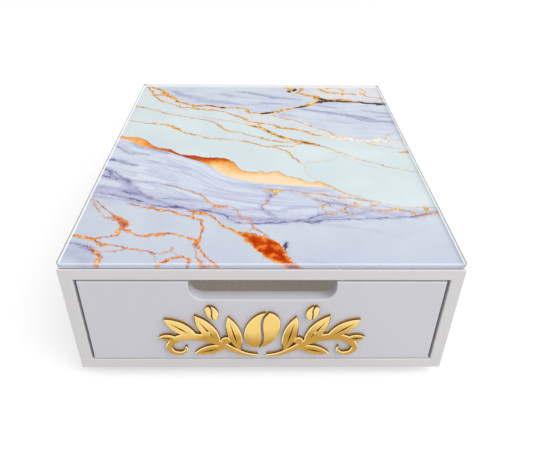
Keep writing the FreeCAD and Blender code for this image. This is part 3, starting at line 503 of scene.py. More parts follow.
def measured(points, x, y):
    """For each place: how far it is to the left of a line, the line's half width there and how far along it."""
    line = smoothed(points)
    if line.shape[1] == 2:
        line = np.hstack([line, np.zeros((len(line), 1))])
    for end, inner in ((0, 1), (-1, -2)):
        way = line[end] - line[inner]
        way /= np.hypot(*way[:2])
        far, near = line[end] + way * BEYOND, line[end] + way * TAPER
        near[2] = far[2] = NO_VEIN
        line = np.vstack([far, near, line] if end == 0 else [line, near, far])
    steps = np.diff(line[:, :2], axis=0)
    lengths = np.hypot(*steps.T)
    starts = np.concatenate([[0], np.cumsum(lengths)])
    best, best_offset = np.full(x.shape, np.inf), np.zeros(x.shape)
    out = np.zeros(x.shape + (3,))
    for i, step in enumerate(steps):
        dx, dy = x - line[i, 0], y - line[i, 1]
        share = np.clip((dx * step[0] + dy * step[1]) / lengths[i] ** 2, 0, 1)
        gap = np.hypot(dx - share * step[0], dy - share * step[1])
        offset = (step[0] * dy - step[1] * dx) / lengths[i]
        nearer = (gap < best - TIE) | ((gap < best + TIE) & (np.abs(offset) > np.abs(best_offset)))
        best[nearer], best_offset[nearer] = gap[nearer], offset[nearer]
        half = line[i, 2] + share * (line[i + 1, 2] - line[i, 2])
        along = starts[i] + share * lengths[i]
        out[nearer] = np.stack([np.sign(offset) * gap, half, along], -1)[nearer]
    return out


def cloud_cover(x, y):
    """How much lilac there is at each place, 0 to 1."""
    cover = np.zeros(x.shape)
    for strength, soft, points in CLOUDS:
        across, half, _ = np.moveaxis(measured(points, x, y), -1, 0)
        edge = np.clip((half + soft - np.abs(across)) / (2 * soft), 0, 1)
        cover = np.maximum(cover, strength * edge ** 2 * (3 - 2 * edge))
    return cover


def apart(veins):
    """The veins in groups whose members keep clear of each other, so that a group can share a layer."""
    groups = []
    clear = 2 * VEIN_REACH + 2
    for vein in veins:
        line = smoothed(vein[1])[:, :2]
        for group in groups:
            if all(np.hypot(*(line[:, None] - other[None]).T).min() > clear for _, other in group):
                group.append((vein, line))
                break
        else:
            groups.append([(vein, line)])
    return [[vein for vein, _ in group] for group in groups]


def vein_layer(veins, x, y):
    """For each place: the signed distance to the nearest vein, the vein's half width and its strength."""
    out = np.zeros(x.shape + (3,))
    out[..., 0] = BEYOND
    for strength, points in veins:
        line = measured(points, x, y)
        line[..., 2] = strength
        deeper = line[..., 1] - np.abs(line[..., 0]) > out[..., 1] - np.abs(out[..., 0])
        out[deeper] = line[deeper]
    out[np.abs(out[..., 0]) > VEIN_REACH, 1] = NO_VEIN
    return out


def write_layer(mesh, name, *values):
    """Keeps a vector of up to three values for every point of the mesh, for the shader to read."""
    vectors = np.zeros((len(mesh.vertices), 3), np.float32)
    for column, numbers in enumerate(values):
        vectors[:, column] = numbers.ravel()
    mesh.attributes.new(name, "FLOAT_VECTOR", "POINT").data.foreach_set("vector", vectors.ravel())


def print_sheet():
    """The printed layer: a close mesh whose points know how far they are from each vein."""
    low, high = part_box("glass_print")
    wide, deep = (high.x - low.x) / MM, (high.y - low.y) / MM
    xs = np.linspace(low.x, high.x, int(wide / PRINT_STEP) + 1) / MM
    ys = np.linspace(low.y, high.y, int(deep / PRINT_STEP) + 1) / MM
    x, y = np.meshgrid(xs, ys)
    inner_x, inner_y = wide / 2 - PRINT_CORNER, deep / 2 - PRINT_CORNER
    over_x, over_y = np.maximum(np.abs(x) - inner_x, 0), np.maximum(np.abs(y) - inner_y, 0)
    over = np.hypot(over_x, over_y)
    pull = PRINT_CORNER / np.maximum(over, PRINT_CORNER)
    x = np.where(over_x > 0, np.sign(x) * (inner_x + over_x * np.where(over_y > 0, pull, 1)), x)
    y = np.where(over_y > 0, np.sign(y) * (inner_y + over_y * np.where(over_x > 0, pull, 1)), y)
    top = high.z / MM - PRINT_GAP
    points = np.stack([x, y, np.full(x.shape, top)], -1).reshape(-1, 3) * MM
    index = np.arange(x.size).reshape(x.shape)
    faces = np.stack([index[:-1, :-1], index[:-1, 1:], index[1:, 1:], index[1:, :-1]], -1).reshape(-1, 4)
    mesh = bpy.data.meshes.new("print")
    mesh.from_pydata(points.tolist(), [], faces.tolist())
    for name, line in BORDERS.items():
        across, _, along = np.moveaxis(measured(line, x, y), -1, 0)
        write_layer(mesh, name, across, along)
    for style, veins in VEIN_STYLES.items():
        for i, group in enumerate(apart(veins)):
            write_layer(mesh, f"{style}_{i}", *np.moveaxis(vein_layer(group, x, y), -1, 0))
    write_layer(mesh, "cloud", cloud_cover(x, y))
    body = bmesh.new()
    body.from_mesh(mesh)
    rim = bmesh.ops.extrude_edge_only(body, edges=[e for e in body.edges if e.is_boundary])
    lower = [v for v in rim["geom"] if isinstance(v, bmesh.types.BMVert)]
    bmesh.ops.translate(body, verts=lower, vec=(0, 0, low.z - top * MM))
    bmesh.ops.contextual_create(body, geom=[e for e in body.edges if e.is_boundary])
    bmesh.ops.recalc_face_normals(body, faces=body.faces[:])
    bpy.data.meshes.remove(mesh)
    piece_from("glass_print_sheet", body, "glass_print", smooth=False)


def vein_group():
    """The node group that tells how far inside a vein a point is, in mm, below 0 outside, and its strength.
    Shift moves the vein aside, in mm. Swell is a share of its half width, at most 2 mm, to widen it by."""
    group = bpy.data.node_groups.new("vein", "ShaderNodeTree")
    for name, kind in (("Vein", "Vector"), ("Shift", "Float"), ("Swell", "Float")):
        group.interface.new_socket(name, in_out="INPUT", socket_type="NodeSocket" + kind)
    for name in ("Depth", "Strength"):
        group.interface.new_socket(name, in_out="OUTPUT", socket_type="NodeSocketFloat")
    tree = Tree(group)
    given = group.nodes.new("NodeGroupInput").outputs
    across, half, strength = tree.parts(given["Vein"])
    swell = tree.times(tree.math("MINIMUM", half, 2.0), given["Swell"])
    away = tree.math("ABSOLUTE", tree.plus(across, given["Shift"]))
    result = group.nodes.new("NodeGroupOutput").inputs
    tree.feed(result[0], tree.minus(tree.plus(half, swell), away))
    tree.feed(result[1], strength)
    return group


def veins_mask(tree, group, style, shift, swell, soft):
    """Where the veins of a style are, 0 to 1, and how deep inside them."""
    mask, deepest = 0.0, -VEIN_REACH
    for i in range(len(apart(VEIN_STYLES[style]))):
        node = tree.tree.nodes.new("ShaderNodeGroup")
        node.node_tree = group
        for name, value in (("Vein", tree.kept(f"{style}_{i}")), ("Shift", shift), ("Swell", swell)):
            tree.feed(node.inputs[name], value)
        depth, strength = node.outputs
        mask = tree.most(mask, tree.times(tree.step(depth, -soft, soft), strength))
        deepest = tree.most(deepest, depth)
    return mask, deepest


def stone(tree, where, cloud):
    """The stone behind the veins: mint above the leaf, lilac at the back, streaked lavender in front."""
    above, along, _ = tree.parts(tree.kept("leaf_lower"))
    right, back, _ = tree.parts(where)
    drift = tree.noise(where, 38.0, 3.0, 0.55, 0.4)
    fine = tree.noise(where, 9.0, 3.0, 0.6, 0.6)

    mint = tree.ramp(drift, (0.3, (206, 217, 221)), (0.55, (212, 222, 225)), (0.8, (218, 227, 229)))
    grey = tree.ramp(fine, (0.35, (209, 215, 222)), (0.65, (215, 220, 226)))
    colour = tree.mix(tree.step(tree.left_of("grey_border"), -9.0, 6.0), mint, grey)

    slant = tree.out("Mapping", {"Vector": where, "Rotation": (0, 0, radians(20)), "Scale": (0.16, 1, 1)})
    thread = tree.noise(slant, 4.5, 5.0, 0.65, 0.6)
    lilac = tree.ramp(drift, (0.3, (199, 206, 221)), (0.6, (207, 213, 224)), (0.85, (217, 217, 220)))
    lilac = tree.mix(tree.step(thread, 0.52, 0.66, 0.0, 0.6), lilac, (180, 183, 210))
    lilac = tree.mix(tree.step(thread, 0.34, 0.46, 0.45, 0.0), lilac, (224, 227, 231))
    corner = tree.times(tree.step(right, 34.0, 70.0), tree.step(back, 118.0, 136.0, 0.0, 0.85))
    lilac = tree.mix(corner, lilac, (224, 219, 219))
    behind = tree.step(tree.left_of("back_border"), -1.0, 4.0)
    beside = tree.step(tree.left_of("side_border"), -1.0, 5.0)
    colour = tree.mix(tree.most(behind, beside), colour, lilac)

    level = tree.between(tree.step(above, -34.0, -6.0), tree.minus(tree.left_of("flow"), 25.0), above)
    flow = tree.out("CombineXYZ", {0: tree.times(along, 0.09), 1: level})
    streak = tree.noise(flow, 7.0, 5.0, 0.62, 0.5)
    hair = tree.noise(flow, 2.0, 3.0, 0.6, 0.8)
    lavender = tree.ramp(
        tree.between(0.3, streak, hair),
        (0.37, (178, 179, 206)),
        (0.45, (196, 200, 219)),
        (0.51, (206, 211, 225)),
        (0.60, (216, 221, 231)),
    )
    ice = tree.ramp(drift, (0.3, (195, 199, 213)), (0.55, (201, 207, 218)), (0.8, (206, 212, 222)))
    ice = tree.mix(tree.step(back, -164.0, -112.0, 0.6, 0.0), ice, (192, 197, 213))
    front = tree.mix(tree.step(tree.left_of("front_border"), -7.0, 1.0), ice, lavender)
    colour = tree.mix(tree.step(above, -0.6, 1.2), front, colour)
    haze = tree.times(cloud, tree.step(tree.noise(where, 6.0, 4.0, 0.6, 1.2), 0.3, 0.7, 0.3, 1.1))
    return tree.mix(haze, colour, (152, 150, 190))


def leaf_colour(tree, where, rim, spot):
    """The gold leaf's colour: rust along its rim, then orange, then cream towards the front right."""
    right = tree.parts(where)[0]
    starts = ((0.00, 0.62), (0.12, 0.56), (0.22, 0.34), (0.32, 0.10), (0.46, 0.02), (0.52, 0.12), (0.58, 0.56),
              (0.78, 0.84), (1.00, 0.86))
    starts = [(place, (grey, grey, grey, 1)) for place, grey in starts]
    start = tree.ramp(tree.span(right, -136.0, 60.0), *starts)
    tone = tree.plus(tree.minus(start, 0.16), tree.times(rim, tree.step(right, -76.0, -36.0, 0.014, 0.060)))
    colour = tree.ramp(
        tree.plus(tone, tree.times(tree.minus(spot, 0.5), 0.65)),
        (0.00, (176, 62, 4)),
        (0.14, (198, 88, 14)),
        (0.30, (224, 128, 40)),
        (0.48, (242, 168, 82)),
        (0.68, (244, 194, 130)),
        (1.00, (245, 216, 180)),
    )
    return tree.mix(tree.step(rim, 0.2, 1.6, 0.65, 0.0), colour, (200, 116, 46))


def flecked(tree, grain, patches, depth, colours):
    """A vein's own colour, from dark to pale flecks, and patches of a dark outline in the first colour."""
    tone = tree.ramp(grain, *zip((0.37, 0.45, 0.52, 0.60), colours))
    outline = tree.times(tree.step(depth, 0.0, 0.9, 0.85, 0.0), tree.step(patches, 0.44, 0.56))
    return tree.mix(outline, tone, colours[0])


def marble(tree):
    where = tree.place()
    wander = tree.noise(where, 11.0)
    jag = tree.noise(where, 2.8, 2.0, 0.55)
    spot = tree.noise(where, 3.4, 4.0, 0.7)
    grit = tree.noise(where, 1.4, 2.0, 0.6)
    patches = tree.noise(where, 8.0, 3.0, 0.6)
    blotch = tree.noise(where, 6.5, 6.0, 0.72, 0.4)
    shift = tree.plus(tree.step(wander, 0.3, 0.7, -0.9, 0.9), tree.step(jag, 0.3, 0.7, -0.7, 0.7))
    swell = tree.step(spot, 0.35, 0.65, -0.4, 0.55)
    grain = tree.between(0.35, spot, grit)
    group = vein_group()
    colour = stone(tree, where, tree.parts(tree.kept("cloud"))[0])

    purple, depth = veins_mask(tree, group, "purple", shift, swell, 0.9)
    purple = tree.times(purple, tree.step(patches, 0.36, 0.58, 0.3, 1.0))
    colour = tree.mix(tree.step(depth, -4.0, 0.0, 0.0, 0.25), colour, (148, 144, 188))
    tone = tree.ramp(grain, (0.42, (74, 48, 92)), (0.5, (110, 94, 148)), (0.58, (144, 136, 186)))
    colour = tree.mix(purple, colour, tone)

    rim = tree.minus(tree.step(jag, 0.2, 0.8, -0.8, 0.8), tree.left_of("leaf_upper"))
    base = tree.plus(tree.left_of("leaf_lower"), tree.step(wander, 0.2, 0.8, -0.4, 0.4))
    leaf = tree.times(tree.step(rim, -0.3, 0.3), tree.step(base, -0.35, 0.35))
    colour = tree.mix(leaf, colour, leaf_colour(tree, where, rim, spot))

    gold, depth = veins_mask(tree, group, "gold", shift, swell, 0.45)
    colour = tree.mix(tree.step(depth, -3.0, 0.0, 0.0, 0.12), colour, (226, 196, 168))
    tones = (112, 48, 2), (204, 126, 20), (234, 170, 56), (251, 222, 148)
    colour = tree.mix(gold, colour, flecked(tree, grain, patches, depth, tones))

    rust, depth = veins_mask(tree, group, "rust", shift, swell, 0.45)
    tones = (146, 48, 0), (208, 98, 12), (232, 144, 44), (250, 202, 116)
    thin = flecked(tree, grain, patches, depth, tones)
    tones = (166, 38, 0), (178, 46, 0), (190, 60, 4), (230, 126, 38)
    wide = flecked(tree, blotch, patches, depth, tones)
    colour = tree.mix(rust, colour, tree.mix(tree.step(depth, 1.4, 3.4), thin, wide))

    cream, depth = veins_mask(tree, group, "cream", shift, swell, 0.5)
    tone = tree.ramp(grain, (0.40, (222, 150, 66)), (0.48, (250, 218, 170)), (0.56, (253, 246, 234)))
    brim = tree.times(tree.step(depth, 0.0, 0.8, 0.9, 0.0), tree.step(jag, 0.40, 0.55))
    colour = tree.mix(cream, colour, tree.mix(brim, tone, (206, 138, 46)))
    ink, _ = veins_mask(tree, group, "ink", shift, swell, 0.5)
    colour = tree.mix(ink, colour, tree.ramp(grit, (0.42, (22, 10, 8)), (0.62, (96, 42, 10))))
    return principled(tree, Base_Color=colour, Roughness=0.5, Specular_IOR_Level=0.0)


# Pieces

def placed(name, data):
    """An object of a mesh, a lamp or a camera, in the scene."""
    made = bpy.data.objects.new(name, data)
    bpy.context.collection.objects.link(made)
    return made


def piece_from(name, body, node, smooth=True):
    """A bmesh as an object that rides with a CAD node's body, stands for the node and takes its finish."""
    mesh = bpy.data.meshes.new(name)
    body.to_mesh(mesh)
    body.free()
    for face in mesh.polygons:
        face.use_smooth = smooth
    piece = placed(name, mesh)
    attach(piece, nodes[node]["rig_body"])
    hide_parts(node)
    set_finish(piece, SLOTS[node])
    return piece


def softened(node, width):
    """A CAD node with its sharp edges rounded."""
    source = nodes[node].data
    body = bmesh.new()
    corners = [body.verts.new(v.co) for v in source.vertices]
    for face in source.polygons:
        body.faces.new([corners[i] for i in face.vertices])
    bmesh.ops.remove_doubles(body, verts=body.verts, dist=WELD * MM)
    bmesh.ops.dissolve_limit(body, angle_limit=radians(1), verts=body.verts, edges=body.edges)
    piece = piece_from(node + "_rounded", body, node)
    arris = piece.modifiers.new("arris", "BEVEL")
    arris.width = width * MM
    arris.segments = 3
    arris.angle_limit = radians(30)
    piece.modifiers.new("flat_faces", "WEIGHTED_NORMAL")


def turned(profile, segments):
    """A body turned about the Z axis from points (radius, height), in mm, the first and last on the axis."""
    body = bmesh.new()
    rings = []
    turns = [2 * pi * i / segments for i in range(segments)]
    for radius, height in profile:
        points = [Vector((radius * cos(a), radius * sin(a), height)) for a in (turns if radius else [0])]
        rings.append([body.verts.new(point * MM) for point in points])
    for low, high in zip(rings, rings[1:]):
        for i in range(segments):
            j = (i + 1) % segments
            corners = [low[i % len(low)], low[j % len(low)], high[j % len(high)], high[i % len(high)]]
            body.faces.new(list(dict.fromkeys(corners)))
    bmesh.ops.recalc_face_normals(body, faces=body.faces[:])
    return body


def arc(middle, height, radius, start, end, steps=5):
    """Points (radius, height) round a fillet, by angles in degrees."""
    angles = [radians(start + (end - start) * i / steps) for i in range(steps + 1)]
    return [(middle + radius * cos(a), height + radius * sin(a)) for a in angles]


def islands(node):
    """The lowest and highest corners of each separate solid of a CAD node."""
    body = bmesh.new()
    body.from_mesh(nodes[node].data)
    bmesh.ops.remove_doubles(body, verts=body.verts, dist=WELD * MM)
    left, found = set(body.verts), []
    while left:
        group, edge = [], [left.pop()]
        while edge:
            vertex = edge.pop()
            group.append(vertex.co[:])
            near = {link.other_vert(vertex) for link in vertex.link_edges} & left
            left -= near
            edge += near
        found.append((Vector(np.min(group, 0)), Vector(np.max(group, 0))))
    body.free()
    return found


def seats(node, axis, facing):
    """For each solid of a CAD node, a matrix that sets a piece's top on its end, and the solids' length in mm."""
    way = Vector((0, 0, 0))
    way[axis] = facing
    turn = way.to_track_quat("Z", "Y").to_matrix().to_4x4()
    places = []
    for low, high in islands(node):
        end = (low + high) / 2
        end[axis] = (high if facing > 0 else low)[axis]
        places.append(Matrix.Translation(end) @ turn)
    return places, (high - low)[axis] / MM


def repeated(name, pattern, node, places):
    """One object with a pattern's mesh set down at each place, a matrix, in a CAD node's stead."""
    whole = bmesh.new()
    for place in places:
        copy = bpy.data.meshes.new("copy")
        pattern.to_mesh(copy)
        copy.transform(place)
        whole.from_mesh(copy)
        bpy.data.meshes.remove(copy)
    pattern.free()
    bmesh.ops.recalc_face_normals(whole, faces=whole.faces[:])
    piece_from(name, whole, node)


def cross_recess(body, radius, width, depth):
    """Cuts a cross recess into the top of a head, which faces up and is at height 0."""
    cutter = bmesh.new()
    for turn in (0, pi / 2):
        box = bmesh.ops.create_cube(cutter, size=1.0)["verts"]
        for v in box:
            deep = v.co.z < 0
            v.co.x *= 2 * radius * (0.35 if deep else 1.0) * MM
            v.co.y *= width * (0.7 if deep else 1.0) * MM
            v.co.z = (-depth if deep else 0.5) * MM
        bmesh.ops.rotate(cutter, verts=box, cent=(0, 0, 0), matrix=Matrix.Rotation(turn, 3, "Z"))
    made = []
    for name, shape in (("cutter", cutter), ("head", body)):
        mesh = bpy.data.meshes.new(name)
        shape.to_mesh(mesh)
        shape.free()
        made.append(placed(name, mesh))
    cut = made[1].modifiers.new("recess", "BOOLEAN")
    cut.operation = "DIFFERENCE"
    cut.object = made[0]
    cut.use_self = True
    result = bmesh.new()
    result.from_object(made[1], bpy.context.evaluated_depsgraph_get())
    for each in made:
        mesh = each.data
        bpy.data.objects.remove(each)
        bpy.data.meshes.remove(mesh)
    return result


def screws(node, size, axis, facing):
    """The countersunk cross-recess screws of a CAD node, their heads towards facing along an axis."""
    head, sink, shank = size
    places, length = seats(node, axis, facing)
    rim = [(0, 0), (head - 0.12, 0), (head - 0.03, -0.05), (head, -0.15)]
    neck = [(shank + 0.15, -sink), (shank * 0.86, -sink - 0.2)]
    thread = []
    pitch = shank * 0.9
    z = -sink - 0.6
    while z > -length + shank * 1.6:
        thread += [(shank * 0.8, z), (shank, z - pitch * 0.3), (shank * 0.8, z - pitch * 0.6)]
        z -= pitch
    point = [(shank * 0.7, -length + shank * 1.2), (0, -length)]
    screw = cross_recess(turned(rim + neck + thread + point, 24), head * 0.62, head * 0.24, head * 0.5)
    repeated(node + "_cut", screw, node, places)


def brads(node):
    """Brads with a domed, rimmed head and a plain shank."""
    places, length = seats(node, 1, 1)
    head = [(0, -0.12), (0.5, -0.1), (0.9, 0), (1.2, -0.04), (1.3, -0.15), (0.72, -0.6), (0.7, -0.9)]
    repeated(node + "_turned", turned(head + [(0.7, 1.2 - length), (0, -length)], 20), node, places)


def feet(node):
    """Moulded rubber feet with a rounded foot, a flared shoulder and a recess for the screw."""
    outline = [(0, 6.2), (1.9, 6.0), (4.9, 6.0)]
    outline += arc(4.9, 5.7, 0.3, 90, 0, 3) + [(5.2, 0.5)]
    outline += arc(5.7, 0.5, 0.5, 180, 270) + [(7.0, 0.0), (7.2, 0.25), (7.6, 0.25), (7.8, 0.0)]
    outline += arc(8.2, 0.8, 0.8, 270, 360) + [(9.3, 2.2), (9.9, 5.0), (10.5, 8.0)]
    outline += arc(10.2, 9.2, 0.8, 0, 90) + [(3.0, 10.0), (0, 10.0)]
    places = []
    for low, high in islands(node):
        middle = (low + high) / 2
        places.append(Matrix.Translation((middle.x, middle.y, low.z)))
    repeated(node + "_moulded", turned(outline, 48), node, places)


def balls(node):
    """Round balls in the two rows of a slide, in the places of the CAD's many-sided ones."""
    found = islands(node)
    radius = (found[0][1].y - found[0][0].y) / 2 / MM
    outline = [(0, -radius), *arc(0, 0, radius, -75, 75, 10), (0, radius)]
    places = [Matrix.Translation((low + high) / 2) for low, high in found]
    repeated(node + "_round", turned(outline, 20), node, places)


# Finishes: functions that make a surface in a node tree, or that return such a function

def lacquer(colour, shade):
    """Sprayed satin lacquer, with the faint dimples that spraying leaves."""
    def build(tree):
        where = tree.place()
        tone = tree.mix(tree.step(tree.noise(where, 60.0, 3.0, 0.55), 0.2, 0.8), colour, shade)
        rough = tree.step(tree.noise(where, 4.0), 0.2, 0.8, 0.33, 0.37)
        peel = tree.bump(tree.noise(where, 1.6), 0.012)
        return principled(tree, Base_Color=tone, Roughness=rough, Normal=peel)
    return build


def grained(tones, noise, rough, relief, stretch=(1.0, 1.0, 1.0), glow=0.0, **more):
    """A matt finish. Its grain, a noise (size in mm, detail, roughness, warp), picks the tone and stands out by a
    relief in mm. A glow stands for light that gets to where the lamps don't."""
    def build(tree):
        grain = tree.noise(tree.place(stretch), *noise)
        tone = tree.ramp(grain, *tones)
        lit = {"Emission_Color": tone, "Emission_Strength": glow} if glow else {}
        normal = tree.bump(grain, relief)
        return principled(tree, Base_Color=tone, Roughness=rough, Normal=normal, **lit, **more)
    return build


def zinc(stretch, rough, tint):
    """Zinc-plated steel, with fine marks drawn out along one way."""
    def build(tree):
        marks = tree.noise(tree.place(stretch), 0.5, 3.0, 0.6)
        tone = tree.mix(tree.noise(tree.place(), 9.0, 3.0, 0.6), tint, (206, 208, 212))
        shine = tree.step(marks, 0.2, 0.8, rough - 0.06, rough + 0.08)
        return principled(tree, Base_Color=tone, Metallic=1.0, Roughness=shine, Normal=tree.bump(marks, 0.01))
    return build


def clear_glass(tree):
    """Glass over a print. Its ground edges carry painted light: a pale painted highlight along the front and back
    arris and the top band of the front and back faces, painted shade in a dark tone on the left and right sides,
    and at the foot of those sides a painted highlight that glows.
    """
    base, top = (corner.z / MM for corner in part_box("glass_top"))
    geometry = tree.add("NewGeometry").outputs
    across, _, rise = tree.parts(geometry["Normal"])
    steep = tree.math("ABSOLUTE", rise)
    where = tree.place()
    height = tree.parts(where)[2]
    fresnel = tree.out("Fresnel", {"IOR": 1.45})
    shallow = tree.math("MULTIPLY", tree.times(fresnel, fresnel), 2.0, clamp=True)
    share = tree.times(shallow, tree.minus(1.0, geometry["Backfacing"]))
    clear = tree.out("BsdfTransparent", {"Color": (0.99, 0.995, 0.995, 1)})
    shine = tree.out("BsdfGlossy", {"Color": (1, 1, 1, 1), "Roughness": 0.02})
    pane = tree.out("MixShader", {0: share, 1: clear, 2: shine})

    flank = tree.step(tree.math("ABSOLUTE", across), 0.2, 0.4)
    upright = tree.step(steep, 0.25, 0.45, 1.0, 0.0)
    # Painted highlight masks: the top arris, the top band of the upright faces and the foot of the left and right
    # sides
    arris = tree.times(tree.step(rise, 0.30, 0.55), tree.step(rise, 0.85, 0.97, 0.5, 0.0))
    painted_crown_highlight = tree.times(tree.step(height, top - 1.3, top - 0.9, 0.0, 0.8), upright)
    foot = tree.times(tree.step(height, base + 1.0, base + 1.3, 0.8, 0.0), flank)
    side = tree.times(upright, tree.between(flank, 0.34, 0.68))
    bright = tree.most(arris, painted_crown_highlight)

    # Painted light tones: pale for the painted highlights, deep and dim for painted shade, near white for the
    # glowing foot
    painted_edge_noise = tree.noise(where, 3.0, 3.0, 0.6)
    pale = tree.mix(painted_edge_noise, (224, 228, 238), (240, 243, 248))
    deep = tree.mix(painted_edge_noise, (162, 167, 182), (190, 193, 206))
    dim = tree.mix(painted_edge_noise, (94, 98, 110), (116, 119, 131))
    tone = tree.mix(flank, tree.mix(tree.math("GREATER_THAN", bright, 0.1), deep, pale), dim)
    tone = tree.mix(foot, tone, (252, 253, 255))
    # The foot's painted highlight also glows, though it is no lamp
    glow = {"Emission_Color": (1, 1, 1, 1), "Emission_Strength": tree.times(foot, 0.4)}
    edge = principled(tree, Base_Color=tone, Roughness=0.15, **glow)
    return tree.out("MixShader", {0: tree.most(tree.most(bright, foot), side), 1: pane, 2: edge})


def gold_mirror(tree):
    """Gold mirror with painted reflections: its face painted pale above and deeper below, a painted highlight as
    a bright line round the face, and a rim painted with dark brown and gold bands.
    """
    face_y, back_y = (corner.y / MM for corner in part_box("ornament_bean"))
    where = tree.place()
    _, back, height = tree.parts(where)
    # Painted reflection on the face: paler above, deeper below
    level = tree.plus(height, tree.step(tree.noise(where, 26.0), 0.3, 0.7, -5.0, 5.0))
    face = tree.ramp(
        tree.span(level, 20.0, 80.0),
        (0.00, (216, 172, 90)),
        (0.14, (196, 150, 68)),
        (0.40, (188, 144, 64)),
        (0.58, (236, 202, 120)),
        (1.00, (243, 212, 134)),
    )
    # Painted reflection on the side walls of the letters: dark brown and gold bands across their depth
    rim = tree.ramp(
        tree.span(back, face_y, back_y),
        (0.22, (226, 172, 82)),
        (0.36, (98, 46, 2)),
        (0.54, (122, 68, 14)),
        (0.68, (224, 176, 88)),
        (0.86, (206, 154, 66)),
        (1.00, (120, 74, 20)),
    )
    # The front bevel gets a bright painted highlight, the flat face the painted face gradient, the side walls the
    # painted rim bands
    facing = tree.parts(tree.add("NewGeometry").outputs["Normal"])[1]
    tone = tree.mix(tree.step(facing, -0.62, -0.30, 1.0, 0.0), rim, (250, 228, 166))
    tone = tree.mix(tree.step(facing, -0.985, -0.90, 1.0, 0.0), tone, face)
    rough = tree.step(tree.noise(where, 2.0), 0.3, 0.7, 0.06, 0.10)
    ripple = tree.bump(tree.noise(where, 9.0), 0.02)
    return principled(tree, Base_Color=tone, Metallic=1.0, Roughness=rough, Normal=ripple)


# The finish of each material slot, and of the drawer front. The drawer front and the drawer's boards take the
# white lacquer as darker, bluer copies: painted shade.
FINISHES = {
    "lacquered_board": lacquer((220, 217, 219), (218, 215, 217)),
    # Painted shade: the drawer front is the white lacquer painted darker and bluer than the case
    "front_lacquer_painted_shade": lacquer((212, 211, 218), (210, 209, 216)),
    # Painted shade: the drawer's boards are the white lacquer painted darker and bluer
    "drawer_board": lacquer((206, 205, 211), (204, 203, 209)),
    # The hardboard glows a little: painted light that stands in for the light getting into the closed drawer
    "hardboard": grained(((0.3, (178, 168, 156)), (0.6, (203, 195, 184)), (0.8, (214, 207, 197))),
                         (1.2, 4.0, 0.7, 1.5), 0.62, 0.05, glow=0.27),
    "glass": clear_glass,
    "marble_print": marble,
    "tape": grained(((0, (226, 226, 224)), (1, (240, 240, 238))), (0.5,), 0.8, 0.05),
    "rubber": grained(((0, (32, 32, 34)), (1, (52, 52, 54))), (0.7, 3.0, 0.6), 0.7, 0.06),
    "steel_fasteners": zinc((1.0, 1.0, 1.0), 0.30, (178, 178, 172)),
    "rail_steel": zinc((1.0, 0.04, 1.0), 0.32, (186, 190, 196)),
    "cage_steel": zinc((1.0, 0.1, 1.0), 0.38, (168, 168, 170)),
    "ball_steel": zinc((1.0, 1.0, 1.0), 0.12, (196, 198, 202)),
    "dowel_wood": grained(((0.35, (176, 134, 92)), (0.65, (218, 184, 140))), (1.1, 4.0, 0.65, 0.6), 0.6, 0.04,
                          stretch=(1.0, 0.12, 1.0)),
    "felt": grained(((0, (170, 168, 164)), (1, (212, 210, 206))), (0.6, 4.0, 0.75, 2.5), 0.95, 0.25,
                    Sheen_Weight=0.3),
    "gold_mirror": gold_mirror,
}


def dress():
    """Gives every piece that shows the finish of its material slot."""
    finishes = {slot: finish(slot, build) for slot, build in FINISHES.items()}
    for name, node in nodes.items():
        node.data.materials.clear()
        node.data.materials.append(finishes["front_lacquer_painted_shade" if name == "drawer_front" else SLOTS[name]])
    for piece in bpy.data.objects:
        if piece.type == "MESH" and "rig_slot" in piece:
            piece.data.materials.clear()
            piece.data.materials.append(finishes[piece["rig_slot"]])


# Studio

def seen_directly(tree):
    """1 where the camera sees a surface, or metal or glass shows it, and 0 where it only lights others."""
    rays = tree.add("LightPath").outputs
    return tree.most(tree.most(rays["Is Camera Ray"], rays["Is Glossy Ray"]), rays["Is Transmission Ray"])


def paper(tree):
    low, high = FLOOR_GREY - 0.004, FLOOR_GREY + 0.004
    tone = tree.mix(tree.noise(tree.place(), 3.0), (low, low, low, 1), (high, high, high, 1))
    diffuse = tree.out("BsdfDiffuse", {"Color": tone})
    glow = tree.out("Emission", {"Strength": tree.times(seen_directly(tree), FLOOR_GLOW)})
    return tree.out("AddShader", {0: diffuse, 1: glow})


def floor():
    mesh = bpy.data.meshes.new("floor")
    half = FLOOR_SIZE / 2
    corners = [(-half, -half, 0), (half, -half, 0), (half, half, 0), (-half, half, 0)]
    mesh.from_pydata(corners, [], [(0, 1, 2, 3)])
    mesh.materials.append(finish("floor_paper", paper))
    placed("floor", mesh)


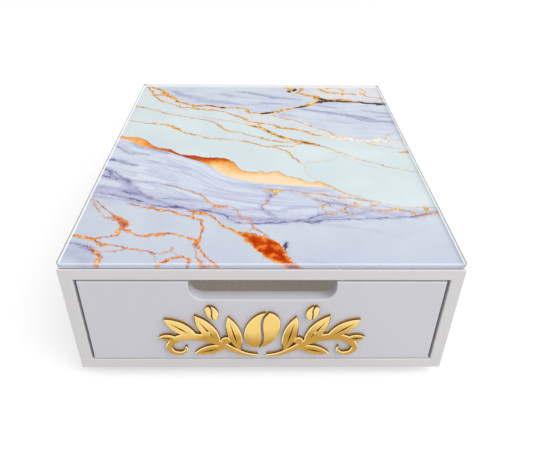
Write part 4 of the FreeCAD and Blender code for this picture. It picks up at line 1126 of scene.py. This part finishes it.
def light():
    world = bpy.data.worlds.new("studio")
    bpy.context.scene.world = world
    world.use_nodes = True
    world.node_tree.nodes.clear()
    tree = Tree(world.node_tree)
    right, _, up = tree.parts(tree.add("TexCoord").outputs["Generated"])
    side = tree.plus(1.0, tree.times(right, WORLD_SIDE))
    strength = tree.times(tree.times(side, tree.step(up, -0.1, 0.7, 0.72, 1.12)), WORLD_LEVEL)
    strength = tree.between(seen_directly(tree), strength, 1.0)
    shell = tree.out("Background", {"Color": (1.0, 1.0, 1.0, 1.0), "Strength": strength})
    tree.add("OutputWorld", {"Surface": shell})
    lamp = bpy.data.lights.new("key", "AREA")
    lamp.shape = "RECTANGLE"
    lamp.size = lamp.size_y = KEY_SIZE
    lamp.energy = KEY_POWER
    key = placed("key", lamp)
    key.visible_glossy = False
    key.location = KEY_PLACE
    key.rotation_euler = (-Vector(KEY_PLACE)).to_track_quat("-Z", "Y").to_euler()


def camera():
    right = Vector((cos(CAMERA_YAW), -sin(CAMERA_YAW), 0))
    ahead = Vector((sin(CAMERA_YAW), cos(CAMERA_YAW), 0)) * cos(CAMERA_PITCH) - Vector((0, 0, sin(CAMERA_PITCH)))
    down = ahead.cross(right)
    tilted_right = right * cos(CAMERA_ROLL) - down * sin(CAMERA_ROLL)
    tilted_down = right * sin(CAMERA_ROLL) + down * cos(CAMERA_ROLL)
    turn = Matrix((tilted_right, -tilted_down, -ahead)).transposed()
    lens = bpy.data.cameras.new("camera")
    lens.sensor_width = SENSOR
    lens.lens = FOCAL_PIXELS / IMAGE_WIDTH * SENSOR
    lens.clip_start = 0.01
    viewer = placed("camera", lens)
    viewer.matrix_world = Matrix.Translation(CAMERA_PLACE) @ turn.to_4x4()
    bpy.context.scene.camera = viewer


print_sheet()
for node, width in ROUNDED.items():
    softened(node, width)
feet("rubber_feet")
brads("back_panel_brads")
screws("foot_screws", FOOT_SCREW, 2, -1)
for side, inward in (("left", 1), ("right", -1)):
    screws(f"{side}_outer_rail_screws", RAIL_SCREW, 0, inward)
    screws(f"{side}_inner_rail_screws", RAIL_SCREW, 0, -inward)
    balls(f"{side}_slide_balls")
dress()
floor()
light()
camera()
bpy.context.scene.view_settings.view_transform = "Standard"
